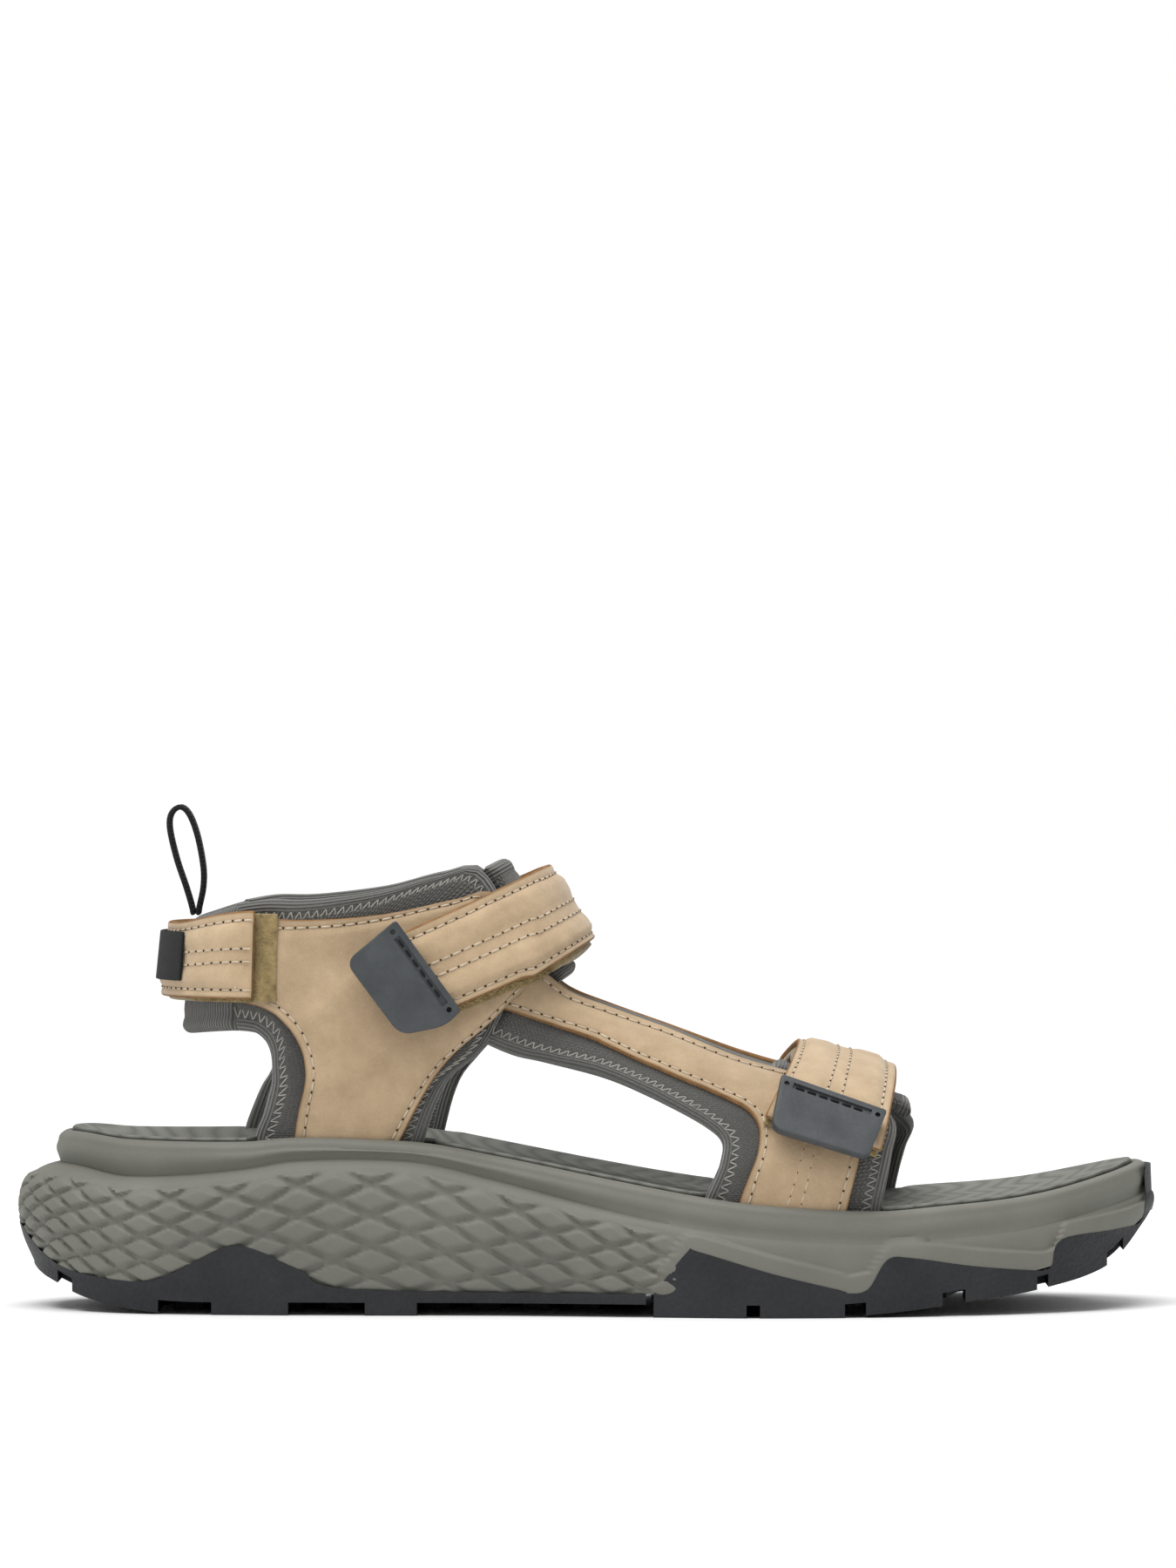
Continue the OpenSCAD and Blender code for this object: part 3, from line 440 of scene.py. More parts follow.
def threads(name, segments, radius, material, body, slot=None):
    """One mesh of short rounded threads, each from one point to another."""
    around, rings = 6, [[0, 0.35], [0.12, 0.85], [0.5, 1.0], [0.88, 0.85], [1, 0.35]]
    points, faces = [], []
    for a, b in segments:
        way = b - a
        side = unit(np.cross(way, [0.31, 0.52, 0.79]))
        up = unit(np.cross(way, side))
        base = len(points)
        for share, size in rings:
            for k in range(around):
                c, s = math.cos(2 * PI * k / around), math.sin(2 * PI * k / around)
                points.append(a + share * way + radius * size * (c * side + s * up))
        for q in range(len(rings) - 1):
            for k in range(around):
                o, e = base + q * around + k, base + q * around + (k + 1) % around
                faces.append([o, e, e + around, o + around])
        faces.append([base + k for k in range(around)][::-1])
        faces.append([base + (len(rings) - 1) * around + k for k in range(around)])
    return make(name, points, faces, [material], body, sharp=80, slot=slot)


def running(points, stitch=2.3, gap=0.9):
    """Running stitches along a line of points, and dark pieces between them, painted shade where the thread
    dips into the leather.
    """
    line = resample(points, (stitch + gap) / 8)
    count, seen = int((len(line) - 1) / 8), int(round(8 * stitch / (stitch + gap)))
    stitches = [(line[8 * i], line[8 * i + seen]) for i in range(count)]
    hole_shades = [(mix(line[8 * i + seen], line[8 * i + 8], 0.2), mix(line[8 * i + seen], line[8 * i + 8], 0.8))
             for i in range(count)]
    return stitches, hole_shades


def sew(name, lines, radius, material, body):
    """Running stitches along lines of points, and dark pieces of painted shade between them, as two pieces.
    """
    rows = [running(line) for line in lines]
    return [threads(name, [s for row in rows for s in row[0]], radius, material, body, slot="leather"),
            threads(name + "_hole_shades", [h for row in rows for h in row[1]], 0.3, HOLE_SHADE_PAINT, body,
                    slot="leather")]


def zigzag(left, right, step=1.15):
    """Zigzag between two lines of points of about the same length."""
    count = int(np.linalg.norm(np.diff(left, axis=0), axis=1).sum() / step)
    a, b = [resample(side, np.linalg.norm(np.diff(side, axis=0), axis=1).sum() / count)
            for side in (left, right)]
    line = [a[i] if i % 2 else b[i] for i in range(min(len(a), len(b)))]
    return list(zip(line[:-1], line[1:]))


def line_on(surface, u, inset, depth):
    """Points along a surface, inset mm in from rail a, or from rail b if inset is below zero."""
    t = inset / widths(surface, u, depth)
    return surface(u, np.where(t < 0, 1 + t, t), depth + 0 * u)


def line_across(surface, u, inset, depth):
    """Points across a surface at one station, stopping inset mm from both edges."""
    t = inset / widths(surface, np.array([u]), depth)[0]
    t = np.linspace(t, 1 - t, 40)
    return surface(u + 0 * t, t, depth + 0 * t)


# ---- Materials ----

def srgb(*levels):
    return tuple((v / 255) ** 2.2 for v in levels) + (1.0,)


class Paint:
    """A procedural material under construction. Sizes are in millimetres."""

    def __init__(self, name, rough, sheen=0.0, specular=0.35):
        self.material = bpy.data.materials.new(name)
        self.material.use_nodes = True
        self.tree = self.material.node_tree
        self.shader = self.tree.nodes["Principled BSDF"]
        self.shader.inputs["Roughness"].default_value = rough
        self.shader.inputs["Sheen Weight"].default_value = sheen
        self.shader.inputs["Sheen Roughness"].default_value = 0.5
        self.shader.inputs["Specular IOR Level"].default_value = specular
        self.place = self.node("ShaderNodeTexCoord").outputs["Object"]
        cloth = self.node("ShaderNodeAttribute", attribute_name="cloth")
        self.run, self.across, self.edge = self.node(
            "ShaderNodeSeparateXYZ", {0: cloth.outputs["Vector"]}).outputs

    def node(self, kind, inputs=None, **settings):
        made = self.tree.nodes.new(kind)
        for key, value in settings.items():
            setattr(made, key, value)
        for key, value in (inputs or {}).items():
            if isinstance(value, bpy.types.NodeSocket):
                self.tree.links.new(value, made.inputs[key])
            else:
                made.inputs[key].default_value = value
        return made

    def math(self, operation, a, b=0.0):
        return self.node("ShaderNodeMath", {0: a, 1: b}, operation=operation).outputs[0]

    def noise(self, size, detail=2.0, rough=0.55):
        return self.node("ShaderNodeTexNoise", {
            "Vector": self.place, "Scale": 1 / (size * MM), "Detail": detail, "Roughness": rough}).outputs[0]

    def cells(self, size):
        return self.node("ShaderNodeTexVoronoi", {"Vector": self.place, "Scale": 1 / (size * MM)}).outputs[0]

    def wave(self, value, pitch):
        """Sine of a length, from 0 to 1, with one crest every pitch."""
        sine = self.math("SINE", self.math("MULTIPLY", value, 2 * PI / pitch))
        return self.math("ADD", self.math("MULTIPLY", sine, 0.5), 0.5)

    def ramp(self, value, low, high):
        return self.node("ShaderNodeMapRange", {0: value, 1: low, 2: high}).outputs[0]

    def blend(self, factor, a, b):
        return self.node("ShaderNodeMix", {0: factor, 6: a, 7: b}, data_type="RGBA").outputs[2]

    def finish(self, colour, height, depth):
        self.tree.links.new(colour, self.shader.inputs["Base Color"])
        bump = self.node("ShaderNodeBump", {"Strength": 1.0, "Distance": depth * MM, "Height": height})
        self.tree.links.new(bump.outputs[0], self.shader.inputs["Normal"])
        return self.material


def grainy(name, dark, light, rough, grain, depth, broad=14.0, sheen=0.0, cells=False, specular=0.35):
    """Material mottled between two colours, with bumps grain mm across and depth mm deep."""
    p = Paint(name, rough, sheen, specular)
    fine = p.cells(grain) if cells else p.noise(grain, 3.0)
    patch = p.ramp(p.noise(broad, 3.0), 0.3, 0.7)
    factor = p.math("ADD", p.math("MULTIPLY", patch, 0.6), p.math("MULTIPLY", fine, 0.4))
    return p.finish(p.blend(factor, dark, light), fine, depth)


def leather_paint(name, dark, light):
    """Nubuck: soft mottling, a short nap, and darker within about a millimetre of its edges."""
    p = Paint(name, 0.82, sheen=0.25, specular=0.25)
    patch = p.ramp(p.noise(9.0, 4.0, 0.65), 0.3, 0.72)
    speck = p.noise(0.5, 3.0)
    tone = p.math("ADD", p.math("MULTIPLY", patch, 0.55), p.math("MULTIPLY", speck, 0.45))
    # Colour darkens to 0.72 of the dark tone over the rounded edge and the first millimetre in from it.
    edge_darkening = p.ramp(p.edge, 0.0, 1.1)
    colour = p.blend(edge_darkening, tuple(0.72 * v for v in dark[:3]) + (1.0,), p.blend(tone, dark, light))
    grain = p.math("ADD", p.math("MULTIPLY", p.noise(0.9, 4.0), 0.7), p.math("MULTIPLY", p.cells(1.6), 0.3))
    return p.finish(colour, grain, 0.16)


def knit_paint(name, dark, light, pitch=1.3, rim=3.4, ribs_across=False):
    """Knit: rows of loops, and a ribbed roll along the edges."""
    p = Paint(name, 0.9, sheen=0.3, specular=0.2)
    shifted = p.math("ADD", p.across, p.math("MULTIPLY", p.wave(p.run, pitch), 0.55 * pitch))
    loops = p.math("MULTIPLY", p.wave(shifted, pitch), p.wave(p.run, pitch / 2))
    ribs = p.wave(p.run if ribs_across else p.edge, 0.95)
    on_rim = p.math("LESS_THAN", p.edge, rim)
    height = p.node("ShaderNodeMix", {0: on_rim, 2: loops, 3: ribs}).outputs[0]
    tone = p.math("ADD", p.math("MULTIPLY", height, 0.55), p.math("MULTIPLY", p.noise(0.7, 3.0), 0.45))
    return p.finish(p.blend(tone, dark, light), height, 0.4)


def weave_paint(name, dark, light, pitch, depth, sheen=0.15):
    """Plain weave of threads pitch mm apart."""
    p = Paint(name, 0.8, sheen=sheen, specular=0.3)
    warp, weft = p.wave(p.run, pitch), p.wave(p.across, pitch)
    over = p.math("ADD", p.math("MULTIPLY", warp, weft), p.math(
        "MULTIPLY", p.math("SUBTRACT", 1.0, warp), p.math("SUBTRACT", 1.0, weft)))
    tone = p.math("ADD", p.math("MULTIPLY", over, 0.6), p.math("MULTIPLY", p.noise(1.0, 2.0), 0.4))
    return p.finish(p.blend(tone, dark, light), over, depth)


def footbed_paint(name, dark, light):
    """Moulded footbed: waves pressed in along the foot, over a fine texture."""
    p = Paint(name, 0.85, specular=0.25)
    bend = p.math("MULTIPLY", p.wave(p.across, 34.0), 5.0)
    ribs = p.math("POWER", p.wave(p.math("ADD", p.run, bend), 6.5), 0.5)
    grain = p.noise(0.6, 2.0)
    height = p.math("ADD", p.math("MULTIPLY", ribs, 0.7), p.math("MULTIPLY", grain, 0.3))
    return p.finish(p.blend(height, dark, light), height, 0.45)


# Two copies of one nubuck: the panels' copy is darker, as painted shade, and the straps' copy is lighter, as
# a painted highlight where they face up to the light.
SHADED_PANEL_PAINT = leather_paint("nubuck", srgb(156, 133, 105), srgb(191, 167, 136))
LIT_STRAP_PAINT = leather_paint("lit_strap_nubuck", srgb(164, 140, 110), srgb(202, 177, 144))
CUT_PAINT = grainy("cut_edge", srgb(112, 80, 50), srgb(158, 120, 80), 0.85, 0.4, 0.15, broad=4.0)
KNIT_PAINT = knit_paint("knit_lining", srgb(62, 62, 60), srgb(122, 121, 117))
RIB_PAINT = knit_paint("ribbed_lining", srgb(62, 62, 60), srgb(122, 121, 117), rim=12.0, ribs_across=True)
HOOK_PAINT = grainy("hook_tape", srgb(104, 88, 56), srgb(168, 148, 104), 0.9, 0.55, 0.5, broad=3.0,
                    cells=True)
LOOP_PAINT = grainy("loop_tape", srgb(96, 80, 48), srgb(172, 150, 102), 0.95, 0.7, 0.6, broad=3.0,
                    sheen=0.4)
BACK_PAINT = grainy("strap_backing", srgb(110, 92, 58), srgb(166, 146, 102), 0.95, 0.8, 0.5, broad=3.0,
                    sheen=0.4)
MIDSOLE_PAINT = grainy("midsole_foam", srgb(102, 102, 95), srgb(118, 118, 110), 0.6, 0.8, 0.05, broad=30.0)
RUBBER_PAINT = grainy("outsole_rubber", srgb(30, 31, 33), srgb(48, 49, 52), 0.6, 1.1, 0.2, broad=20.0,
                      cells=True)
FOAM_PAINT = grainy("footbed_foam", srgb(84, 84, 84), srgb(104, 104, 104), 0.9, 0.8, 0.1)
BOARD_PAINT = grainy("insole_board", srgb(140, 120, 90), srgb(170, 150, 118), 0.9, 1.2, 0.1)
BED_PAINT = footbed_paint("footbed_cover", srgb(96, 97, 92), srgb(124, 125, 118))
TAB_PAINT = grainy("tab_rubber", srgb(56, 59, 61), srgb(80, 83, 85), 0.45, 1.1, 0.05, broad=10.0)
WEB_PAINT = weave_paint("webbing", srgb(10, 10, 11), srgb(38, 38, 40), 1.1, 0.25, 0.05)
LABEL_PAINT = weave_paint("label", srgb(8, 9, 10), srgb(30, 31, 33), 0.8, 0.3, 0.05)
THREAD_PAINT = grainy("leather_thread", srgb(168, 150, 128), srgb(214, 200, 178), 0.7, 0.3, 0.05, broad=5.0)
GREY_THREAD = grainy("grey_thread", srgb(132, 130, 124), srgb(172, 170, 162), 0.7, 0.3, 0.05, broad=5.0)
DARK_THREAD = grainy("dark_thread", srgb(14, 14, 15), srgb(34, 35, 37), 0.7, 0.3, 0.05, broad=5.0)
# Dark brown for the pieces between stitches: painted shade where the thread dips into each needle hole.
HOLE_SHADE_PAINT = grainy("needle_hole_shade", srgb(40, 28, 18), srgb(62, 46, 32), 0.9, 0.4, 0.02, broad=5.0)


# ---- Sole ----

def ring(angles, out, height):
    p = rim_point(angles)
    q = p + (out(p[:, 0]) + 0 * angles)[:, None] * rim_normal(angles)
    return np.column_stack([q, height(q[:, 0])])


def stack(name, rings, *paint, **more):
    """Closed solid from rings of points, each lying inside or above the one before."""
    n = len(rings[0])
    top = (len(rings) - 1) * n
    faces = [[k * n + i, k * n + (i + 1) % n, (k + 1) * n + (i + 1) % n, (k + 1) * n + i]
             for k in range(len(rings) - 1) for i in range(n)]
    for base in (0, top):
        for i in range(n // 2):
            faces.append(list(dict.fromkeys(base + j % n for j in (i, i + 1, n - i - 1, n - i))))
    return make(name, np.concatenate(rings), faces, list(paint), None, **more)


def wall_rings(angles, steps, extra, raised=None):
    rings = []
    for s in steps:
        def out(x, s=s):
            dent = 0.6 * curve(GROOVE_FADE, x) * smooth((s - 0.94) / 0.06)
            lump = 0 if raised is None else raised(x, s)
            return curve(WALL, s) * curve(BULGE, x) + extra - dent + lump
        rings.append(ring(angles, out, lambda x, s=s: mix(curve(FLOOR_Z, x), groove_z(x), s)))
    return rings


def lip_rings(angles, steps):
    """The lip over the groove, its rounded top, and the pocket wall."""
    def rise_(x, share):
        return mix(groove_z(x) + 1.8, curve(RIM_Z, x) - 2.6, share)
    rings = [ring(angles, lambda x, s=s: 0.5 * math.sin(PI * s) + 0 * x, lambda x, s=s: rise_(x, s))
             for s in np.linspace(0, 1, steps)]
    for out, drop in along([[0, 2.6], [-0.25, 1.4], [-0.9, 0.7], [-2, 0.05], [-3.1, 0.05], [-RIM_WALL, 0.5]],
                           np.linspace(0.5, 5, 10)):
        rings.append(ring(angles, lambda x, o=out: o + 0 * x, lambda x, d=drop: curve(RIM_Z, x) - d))
    rings.append(ring(angles, lambda x: -RIM_WALL + 0 * x, lambda x: curve(RIM_Z, x) - POCKET_DEPTH))
    return rings


DIAMOND_W = [[-141, 9.5], [-120, 12], [-80, 18], [-40, 19.5], [0, 16], [24, 12]]
DIAMOND_H = [[-141, 5.4], [-120, 6.2], [-80, 7.7], [-40, 7.8], [0, 6.8], [24, 5.6]]
DIAMOND_RISE = 1.15
POD_LEDGE, POD_BORDER = 1.15, 5.0
CLEAR_Y = 70.0  # out past both sides of the sole
TOOL_Z = (-3, 47)  # from below the tread to above the rim
CHEVRON_HALF = 18.5
SPINE_HALF = 2


def midsole():
    angles = np.arange(860) * 2 * PI / 860
    outline = rim_point(angles)
    xs = outline[:, 0]
    step = np.linalg.norm(np.diff(outline, axis=0), axis=1)
    count = np.r_[0, np.cumsum(step / curve(DIAMOND_W, xs[1:]))]

    def raised(x, share):
        """Raised diamonds from the heel to the ball of the foot, and ledges round the front pods."""
        z = mix(curve(FLOOR_Z, xs), groove_z(xs), share)
        down = groove_z(xs) - z - 2.4
        p = (count + down / curve(DIAMOND_H, xs)) % 1
        q = (count - down / curve(DIAMOND_H, xs)) % 1
        edge = np.minimum(0.5 - np.abs(p - 0.5), 0.5 - np.abs(q - 0.5))
        fade = smooth((26 - xs) / 12) * smooth(down / 1.2) * smooth((z - 5) / 3)
        pods = np.interp(xs, *np.transpose(FRONT_EDGE))
        ledge = POD_LEDGE * smooth((pods + POD_BORDER - z) / 1.1) * smooth((xs - 14) / 4)
        return DIAMOND_RISE * fade * smooth((edge - 0.075) / 0.1) + ledge

    made = stack("midsole_unit", [
        *wall_rings(angles, np.linspace(0, 1, 56), 0, raised),
        *lip_rings(angles, 7)], MIDSOLE_PAINT, nodes=["midsole"], slot="midsole_foam", sharp=50)
    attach(made, "sandal")


def joined(n):
    """Faces of a solid between two outlines of n points."""
    faces = [list(range(n)), list(range(n, 2 * n))]
    return faces + [[i, (i + 1) % n, n + (i + 1) % n, n + i] for i in range(n)]


def prism(name, outline, low, high, upright):
    """Solid from an outline: drawn from the side and extruded across, or drawn in plan and extruded up."""
    points = [[p[0], p[1], h] if upright else [p[0], h, p[1]] for h in (low, high) for p in outline]
    return make(name, points, joined(len(outline)), [RUBBER_PAINT], None)


def carve(base, tool, operation="DIFFERENCE"):
    cut = base.modifiers.new("cut", "BOOLEAN")
    cut.object, cut.operation, cut.solver = tool, operation, "MANIFOLD"
    bpy.context.view_layer.update()
    mesh = bpy.data.meshes.new_from_object(base.evaluated_get(bpy.context.evaluated_depsgraph_get()))
    base.modifiers.clear()
    base.data = mesh
    bpy.data.objects.remove(tool)


def side_lug(x0, x1):
    """Lugs on both edges of the tread between two places along the foot."""
    made = []
    for side in (LAT, MED):
        inner, outer = rim_y(x0, side) - side * LUG_REACH, side * CLEAR_Y
        made.append(prism("lug", [[x0, inner], [x1, inner], [x1, outer], [x0, outer]], *TOOL_Z, True))
    return made


def outsole(name, edge, lugs, chevrons):
    angles = np.arange(360) * 2 * PI / 360
    wrap = [ring(angles, lambda x: 0.4 * curve(BULGE, x) + WRAP, lambda x: -1 + 0 * x),
            *wall_rings(angles, np.linspace(0, 0.97, 16), WRAP),
            ring(angles, lambda x: WRAP + 0 * x, lambda x: curve(RIM_Z, x) + 1)]
    body = stack(name, wrap, RUBBER_PAINT)
    xs = np.linspace(edge[-1][0], edge[0][0], 90)
    upper = along(edge, np.linspace(0, len(edge) - 1, 6 * (len(edge) - 1) + 1))
    side = [*upper.tolist(), *np.column_stack([xs, curve(TREAD_Z, xs)]).tolist()]
    carve(body, prism("side", side, -CLEAR_Y, CLEAR_Y, False), "INTERSECT")
    xs = np.linspace(-156, 159, 120)
    band = [*np.column_stack([xs, curve(TREAD_Z, xs) - 3]).tolist(),
            *np.column_stack([xs, curve(TREAD_Z, xs) + LUG_DEPTH])[::-1].tolist()]
    grooves = prism("grooves", band, -CLEAR_Y, CLEAR_Y, False)
    tools = [t for span in lugs for t in side_lug(*span)]
    y = SPINE_HALF
    tools.append(prism("spine", [[-150, -y], [150, -y], [150, y], [-150, y]], *TOOL_Z, True))
    y = CHEVRON_HALF
    tools += [prism("chevron", [[x, -y], [x + 7, -y], [x + 11, 0], [x + 7, y], [x, y], [x + 4, 0]],
                    *TOOL_Z, True) for x in np.arange(chevrons[0], chevrons[1] - 6, CHEVRON_STEP)]
    for tool in tools:
        carve(grooves, tool)
    carve(body, grooves)
    pocket = [*wall_rings(angles, np.linspace(0, 1, 20), 0.05), *lip_rings(angles, 3)]
    carve(body, stack("inner", pocket, RUBBER_PAINT))
    body.data.shade_smooth()
    body.data.set_sharp_from_angle(angle=math.radians(32))
    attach(body, "sandal")
    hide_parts(name.removesuffix("_tread"))


midsole()
outsole("outsole_rear_tread", REAR_EDGE, REAR_LUGS, [-134, 8])
outsole("outsole_front_tread", FRONT_EDGE, FRONT_LUGS, [22, 138])

bed_u = np.linspace(0.03, PI - 0.03, 230)
for name, node, low, high, paint in [["board", "insole_board", -7.8, -6.6, BOARD_PAINT],
                                     ["bed_foam", "footbed_foam", -6.4, -0.4, FOAM_PAINT],
                                     ["bed_cover", "footbed_cover", -0.2, 1.0, BED_PAINT]]:
    bed = strip(name, bed_surface, bed_u, low, high, [paint], "sandal", step=2.2, radius=0.6,
                nodes=[node], slot=node)


# ---- Upper ----

EDGE_STITCH = 2.4    # from a leather edge to its stitching
CENTRE_STITCH = 1.7  # from the middle to each row of the double stitching
VAMP_BASE = 7.2      # station where the vamp's double stitching starts


def padded_puff(across, width, run):
    """Soft crown of a padded lining, pulled down where the leather is sewn to it."""
    edge = np.minimum(across, width - across)
    return 0.35 * smooth(edge / 2.5) - 0.35 * np.exp(-((edge - 4.4) / 1.1) ** 2)


def panel_puff(across, width, run):
    """Leather panel that sinks along its stitch lines."""
    edge = np.minimum(across, width - across)
    return 0.45 * smooth((edge - EDGE_STITCH) / 3.5) - 0.3 * np.exp(-((edge - EDGE_STITCH) / 0.6) ** 2)


def strap_puff(crown):
    """Padded strap: two soft tubes between its edge stitching and the double row down its middle."""
    def puff(across, width, run):
        edge = np.minimum(across, width - across)
        middle = np.abs(across - width / 2)
        ends = smooth(np.minimum(run, run.max() - run) / 6)
        out = crown * smooth((edge - EDGE_STITCH + 0.2) / 2.6) * ends
        out = out * (0.45 + 0.55 * smooth((middle - CENTRE_STITCH) / 3.0))
        return out - 0.3 * np.exp(-((edge - EDGE_STITCH) / 0.6) ** 2)
    return puff


def sided(name, side):
    return f"{name}_{'lateral' if side == LAT else 'medial'}"


def lining(name, node, surface, u, paint=KNIT_PAINT):
    made = strip(name, surface, u, 0, LINING, [paint], "sandal", puff=padded_puff, nodes=[node],
                 slot="lining_knit")


def leather(node, surface, u, low, puff=panel_puff):
    strip(node + "_panel", surface, u, low, low + LEATHER, [SHADED_PANEL_PAINT, CUT_PAINT], "sandal", radius=0.6,
          puff=puff, nodes=[node], slot="leather")


def edge_zigzag(surface, u, inner, outer):
    """Zigzag along both edges of a lining."""
    return [segment for sign in (1, -1)
            for segment in zigzag(line_on(surface, u, sign * inner, LINING + 0.1),
                                  line_on(surface, u, sign * outer, LINING + 0.1))]


def edge_lines(surface, u, low):
    return [line_on(surface, u, inset, low + LEATHER - 0.1) for inset in (EDGE_STITCH, -EDGE_STITCH)]


for side in (LAT, MED):
    segments = []
    for kind, rail_a, rail_b, inner, outer in [["quarter_lining", LINING_IN, LINING_OUT, 3.4, 6.4],
                                               ["vamp_lining", VAMP_LINING_IN, VAMP_LINING_OUT, 3.2, 6.0]]:
        surface = panel_surface(rail_a, rail_b, side)
        u = spread(surface, 0, 10, 1.6)
        node = sided(kind, side)
        lining(node + "_pad", node, surface, u)
        segments += edge_zigzag(surface, u, inner, outer)
    threads(sided("lining_zigzag", side), segments, 0.2, GREY_THREAD, "sandal", slot="lining_knit")

surface = heel_surface(lambda a: curve([[-49, 73.4], [0, 72], [49, 73.4]], a),
                       lambda a: curve([[-49, 106.4], [-25, 104], [0, 103], [25, 104], [49, 106.4]], a))
lining("heel_lining_pad", "heel_lining", surface, spread(surface, -52, 52, 1.6), RIB_PAINT)
for name, band, half in [["instep_pad", INSTEP_PAD_BAND, INSTEP_PAD_HALF],
                         ["forefoot_pad", FORE_PAD_BAND, FORE_PAD_HALF]]:
    surface = band_surface(band)
    lining(name + "_soft", name, surface, spread(surface, -math.sqrt(half), math.sqrt(half), 1.6))

for side in (LAT, MED):
    surface = panel_surface(QUARTER_IN, QUARTER_OUT, side)
    u = spread(surface, 0, 10, 1.4)
    low = LEATHER_LOW + along(QUARTER_LIFT, u)
    leather(sided("quarter_leather", side), surface, u, low)
    lines = edge_lines(surface, u, low)

    surface = panel_surface(VAMP_IN, VAMP_OUT, side)
    u = spread(surface, 0, 10, 1.4)
    low = LEATHER_LOW + 0 * u
    leather(sided("vamp_leather", side), surface, u, low)
    lines += edge_lines(surface, u, low)
    base = u > VAMP_BASE
    lines += [surface(u[base], 0.5 + where / widths(surface, u[base], low[base]), low[base] + LEATHER + 0.25)
              for where in (-CENTRE_STITCH, CENTRE_STITCH)]
    sew(sided("panel_stitches", side), lines, 0.28, THREAD_PAINT, "sandal")

surface = heel_surface(lambda a: 83 + 0 * a,
                       lambda a: curve([[-48, 101.5], [-25, 100.5], [0, 100], [48, 101.5]], a))
leather("heel_leather", surface, spread(surface, -48, 48, 1.4), LEATHER_LOW, None)


# ---- Straps ----

def root(v):
    """Station on a band over the top, from the signed distance down from the ridge."""
    return np.sign(v) * np.sqrt(np.abs(v))


def bend_at(thing, surface, seam, reach_, depth):
    """Bakes a piece's transform into its mesh; the points where the strap starts to peel are found but not
    used.
    """
    points = surface(np.array([seam - reach_, seam + reach_]), np.array([0.5, 0.5]), np.array([depth, depth]))
    end, start = points * MM
    tuple(start)
    tuple(end)
    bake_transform(thing)


def strap(key, surface, u, low, seam, reach_, crown, ends):
    """One leather strap from its sewn end to its free end, with its stitching."""
    made = strip(key + "_strap", surface, u, low, low + LEATHER, [LIT_STRAP_PAINT, CUT_PAINT], None, step=0.9,
                 radius=0.85, puff=strap_puff(crown), nodes=[key + "_strap_base", key + "_strap_tail"],
                 slot="leather")
    width = widths(surface, u, low)
    top = low + LEATHER + 0.05
    lines = [surface(u, inset / width, top - 0.15) for inset in (EDGE_STITCH, width - EDGE_STITCH)]
    lines += [surface(u, 0.5 + side * CENTRE_STITCH / width, top + 0.45 * crown) for side in (LAT, MED)]
    lines += [line_across(surface, station, EDGE_STITCH, float(np.interp(station, u, top)))
              for station in ends]
    for thing in [made, *sew(key + "_strap_stitches", lines, 0.3, THREAD_PAINT, None)]:
        bend_at(thing, surface, seam, reach_, float(low.min()))


BAND_BEND = 0.35  # how far, either side of its seam, the peel points of a strap over the top are taken
for key, band, stations, outer, patch, seam, crown, depth in [
        ["instep", INSTEP_BAND, [INSTEP_END, 14, 24, INSTEP_SEWN], INSTEP_STRAP, INSTEP_PATCH, INSTEP_SEAM,
         1.1, 12.0],
        ["forefoot", FORE_BAND, [FORE_END, 5, 9, FORE_SEWN], FORE_STRAP, FORE_PATCH, FORE_SEAM, 1.0, 10.0]]:
    surface = band_surface(band)
    u = spread(surface, root(stations[0]), root(stations[-1]), 1.0, depth)
    low = np.interp(u, root(np.array(stations)), [outer, outer, patch, patch])
    strap(key, surface, u, low, root(seam), BAND_BEND, crown, [])


def heel_low(angle, inset=0.0):
    return HEEL_MID - HEEL_STRAP_W / 2 + 1.2 + inset + 0 * angle


def heel_high(angle, inset=0.0):
    return HEEL_MID + HEEL_STRAP_W / 2 + 0.4 + 3.4 * smooth((-angle - 20) / 45) - inset


HEEL_BEND = 5.0  # the same for the heel strap, in degrees round the heel
surface = heel_surface(heel_low, heel_high)
u = spread(surface, HEEL_END, HEEL_SEWN, 1.0, 10.0)
low = np.interp(u, [HEEL_END, 42, 62, HEEL_SEWN], [HEEL_STRAP, HEEL_STRAP, HEEL_PATCH, HEEL_PATCH])
strap("heel", surface, u, low, HEEL_SEAM, HEEL_BEND, 0.9, [HEEL_END + 6, HEEL_SEWN - 4])

# ---- Hook and loop ----

def tape(name, surface, ends, low, paint, body, node, slot):
    u = spread(surface, *ends, 1.2)
    strip(name, surface, u, low, low + TAPE, [paint], body, nodes=[node], slot=slot)


def loops_and_hooks(key, surfaces, loop_ends, hook_ends, patch, hooks):
    """The loop tape sewn to the sandal and the hook tape that peels off it with the strap."""
    tape(key + "_loop", surfaces[0], loop_ends, patch, LOOP_PAINT, "sandal", key + "_loop_patch", "loop_tape")
    tape(key + "_hooks", surfaces[1], hook_ends, hooks, HOOK_PAINT, key + "_tail", key + "_hook_tape",
         "hook_tape")


def backing(key, surface, u, low, high):
    strip(key + "_back", surface, u, low, high, [BACK_PAINT], "sandal", radius=0.8, nodes=[key + "_backing"],
          slot="strap_backing")


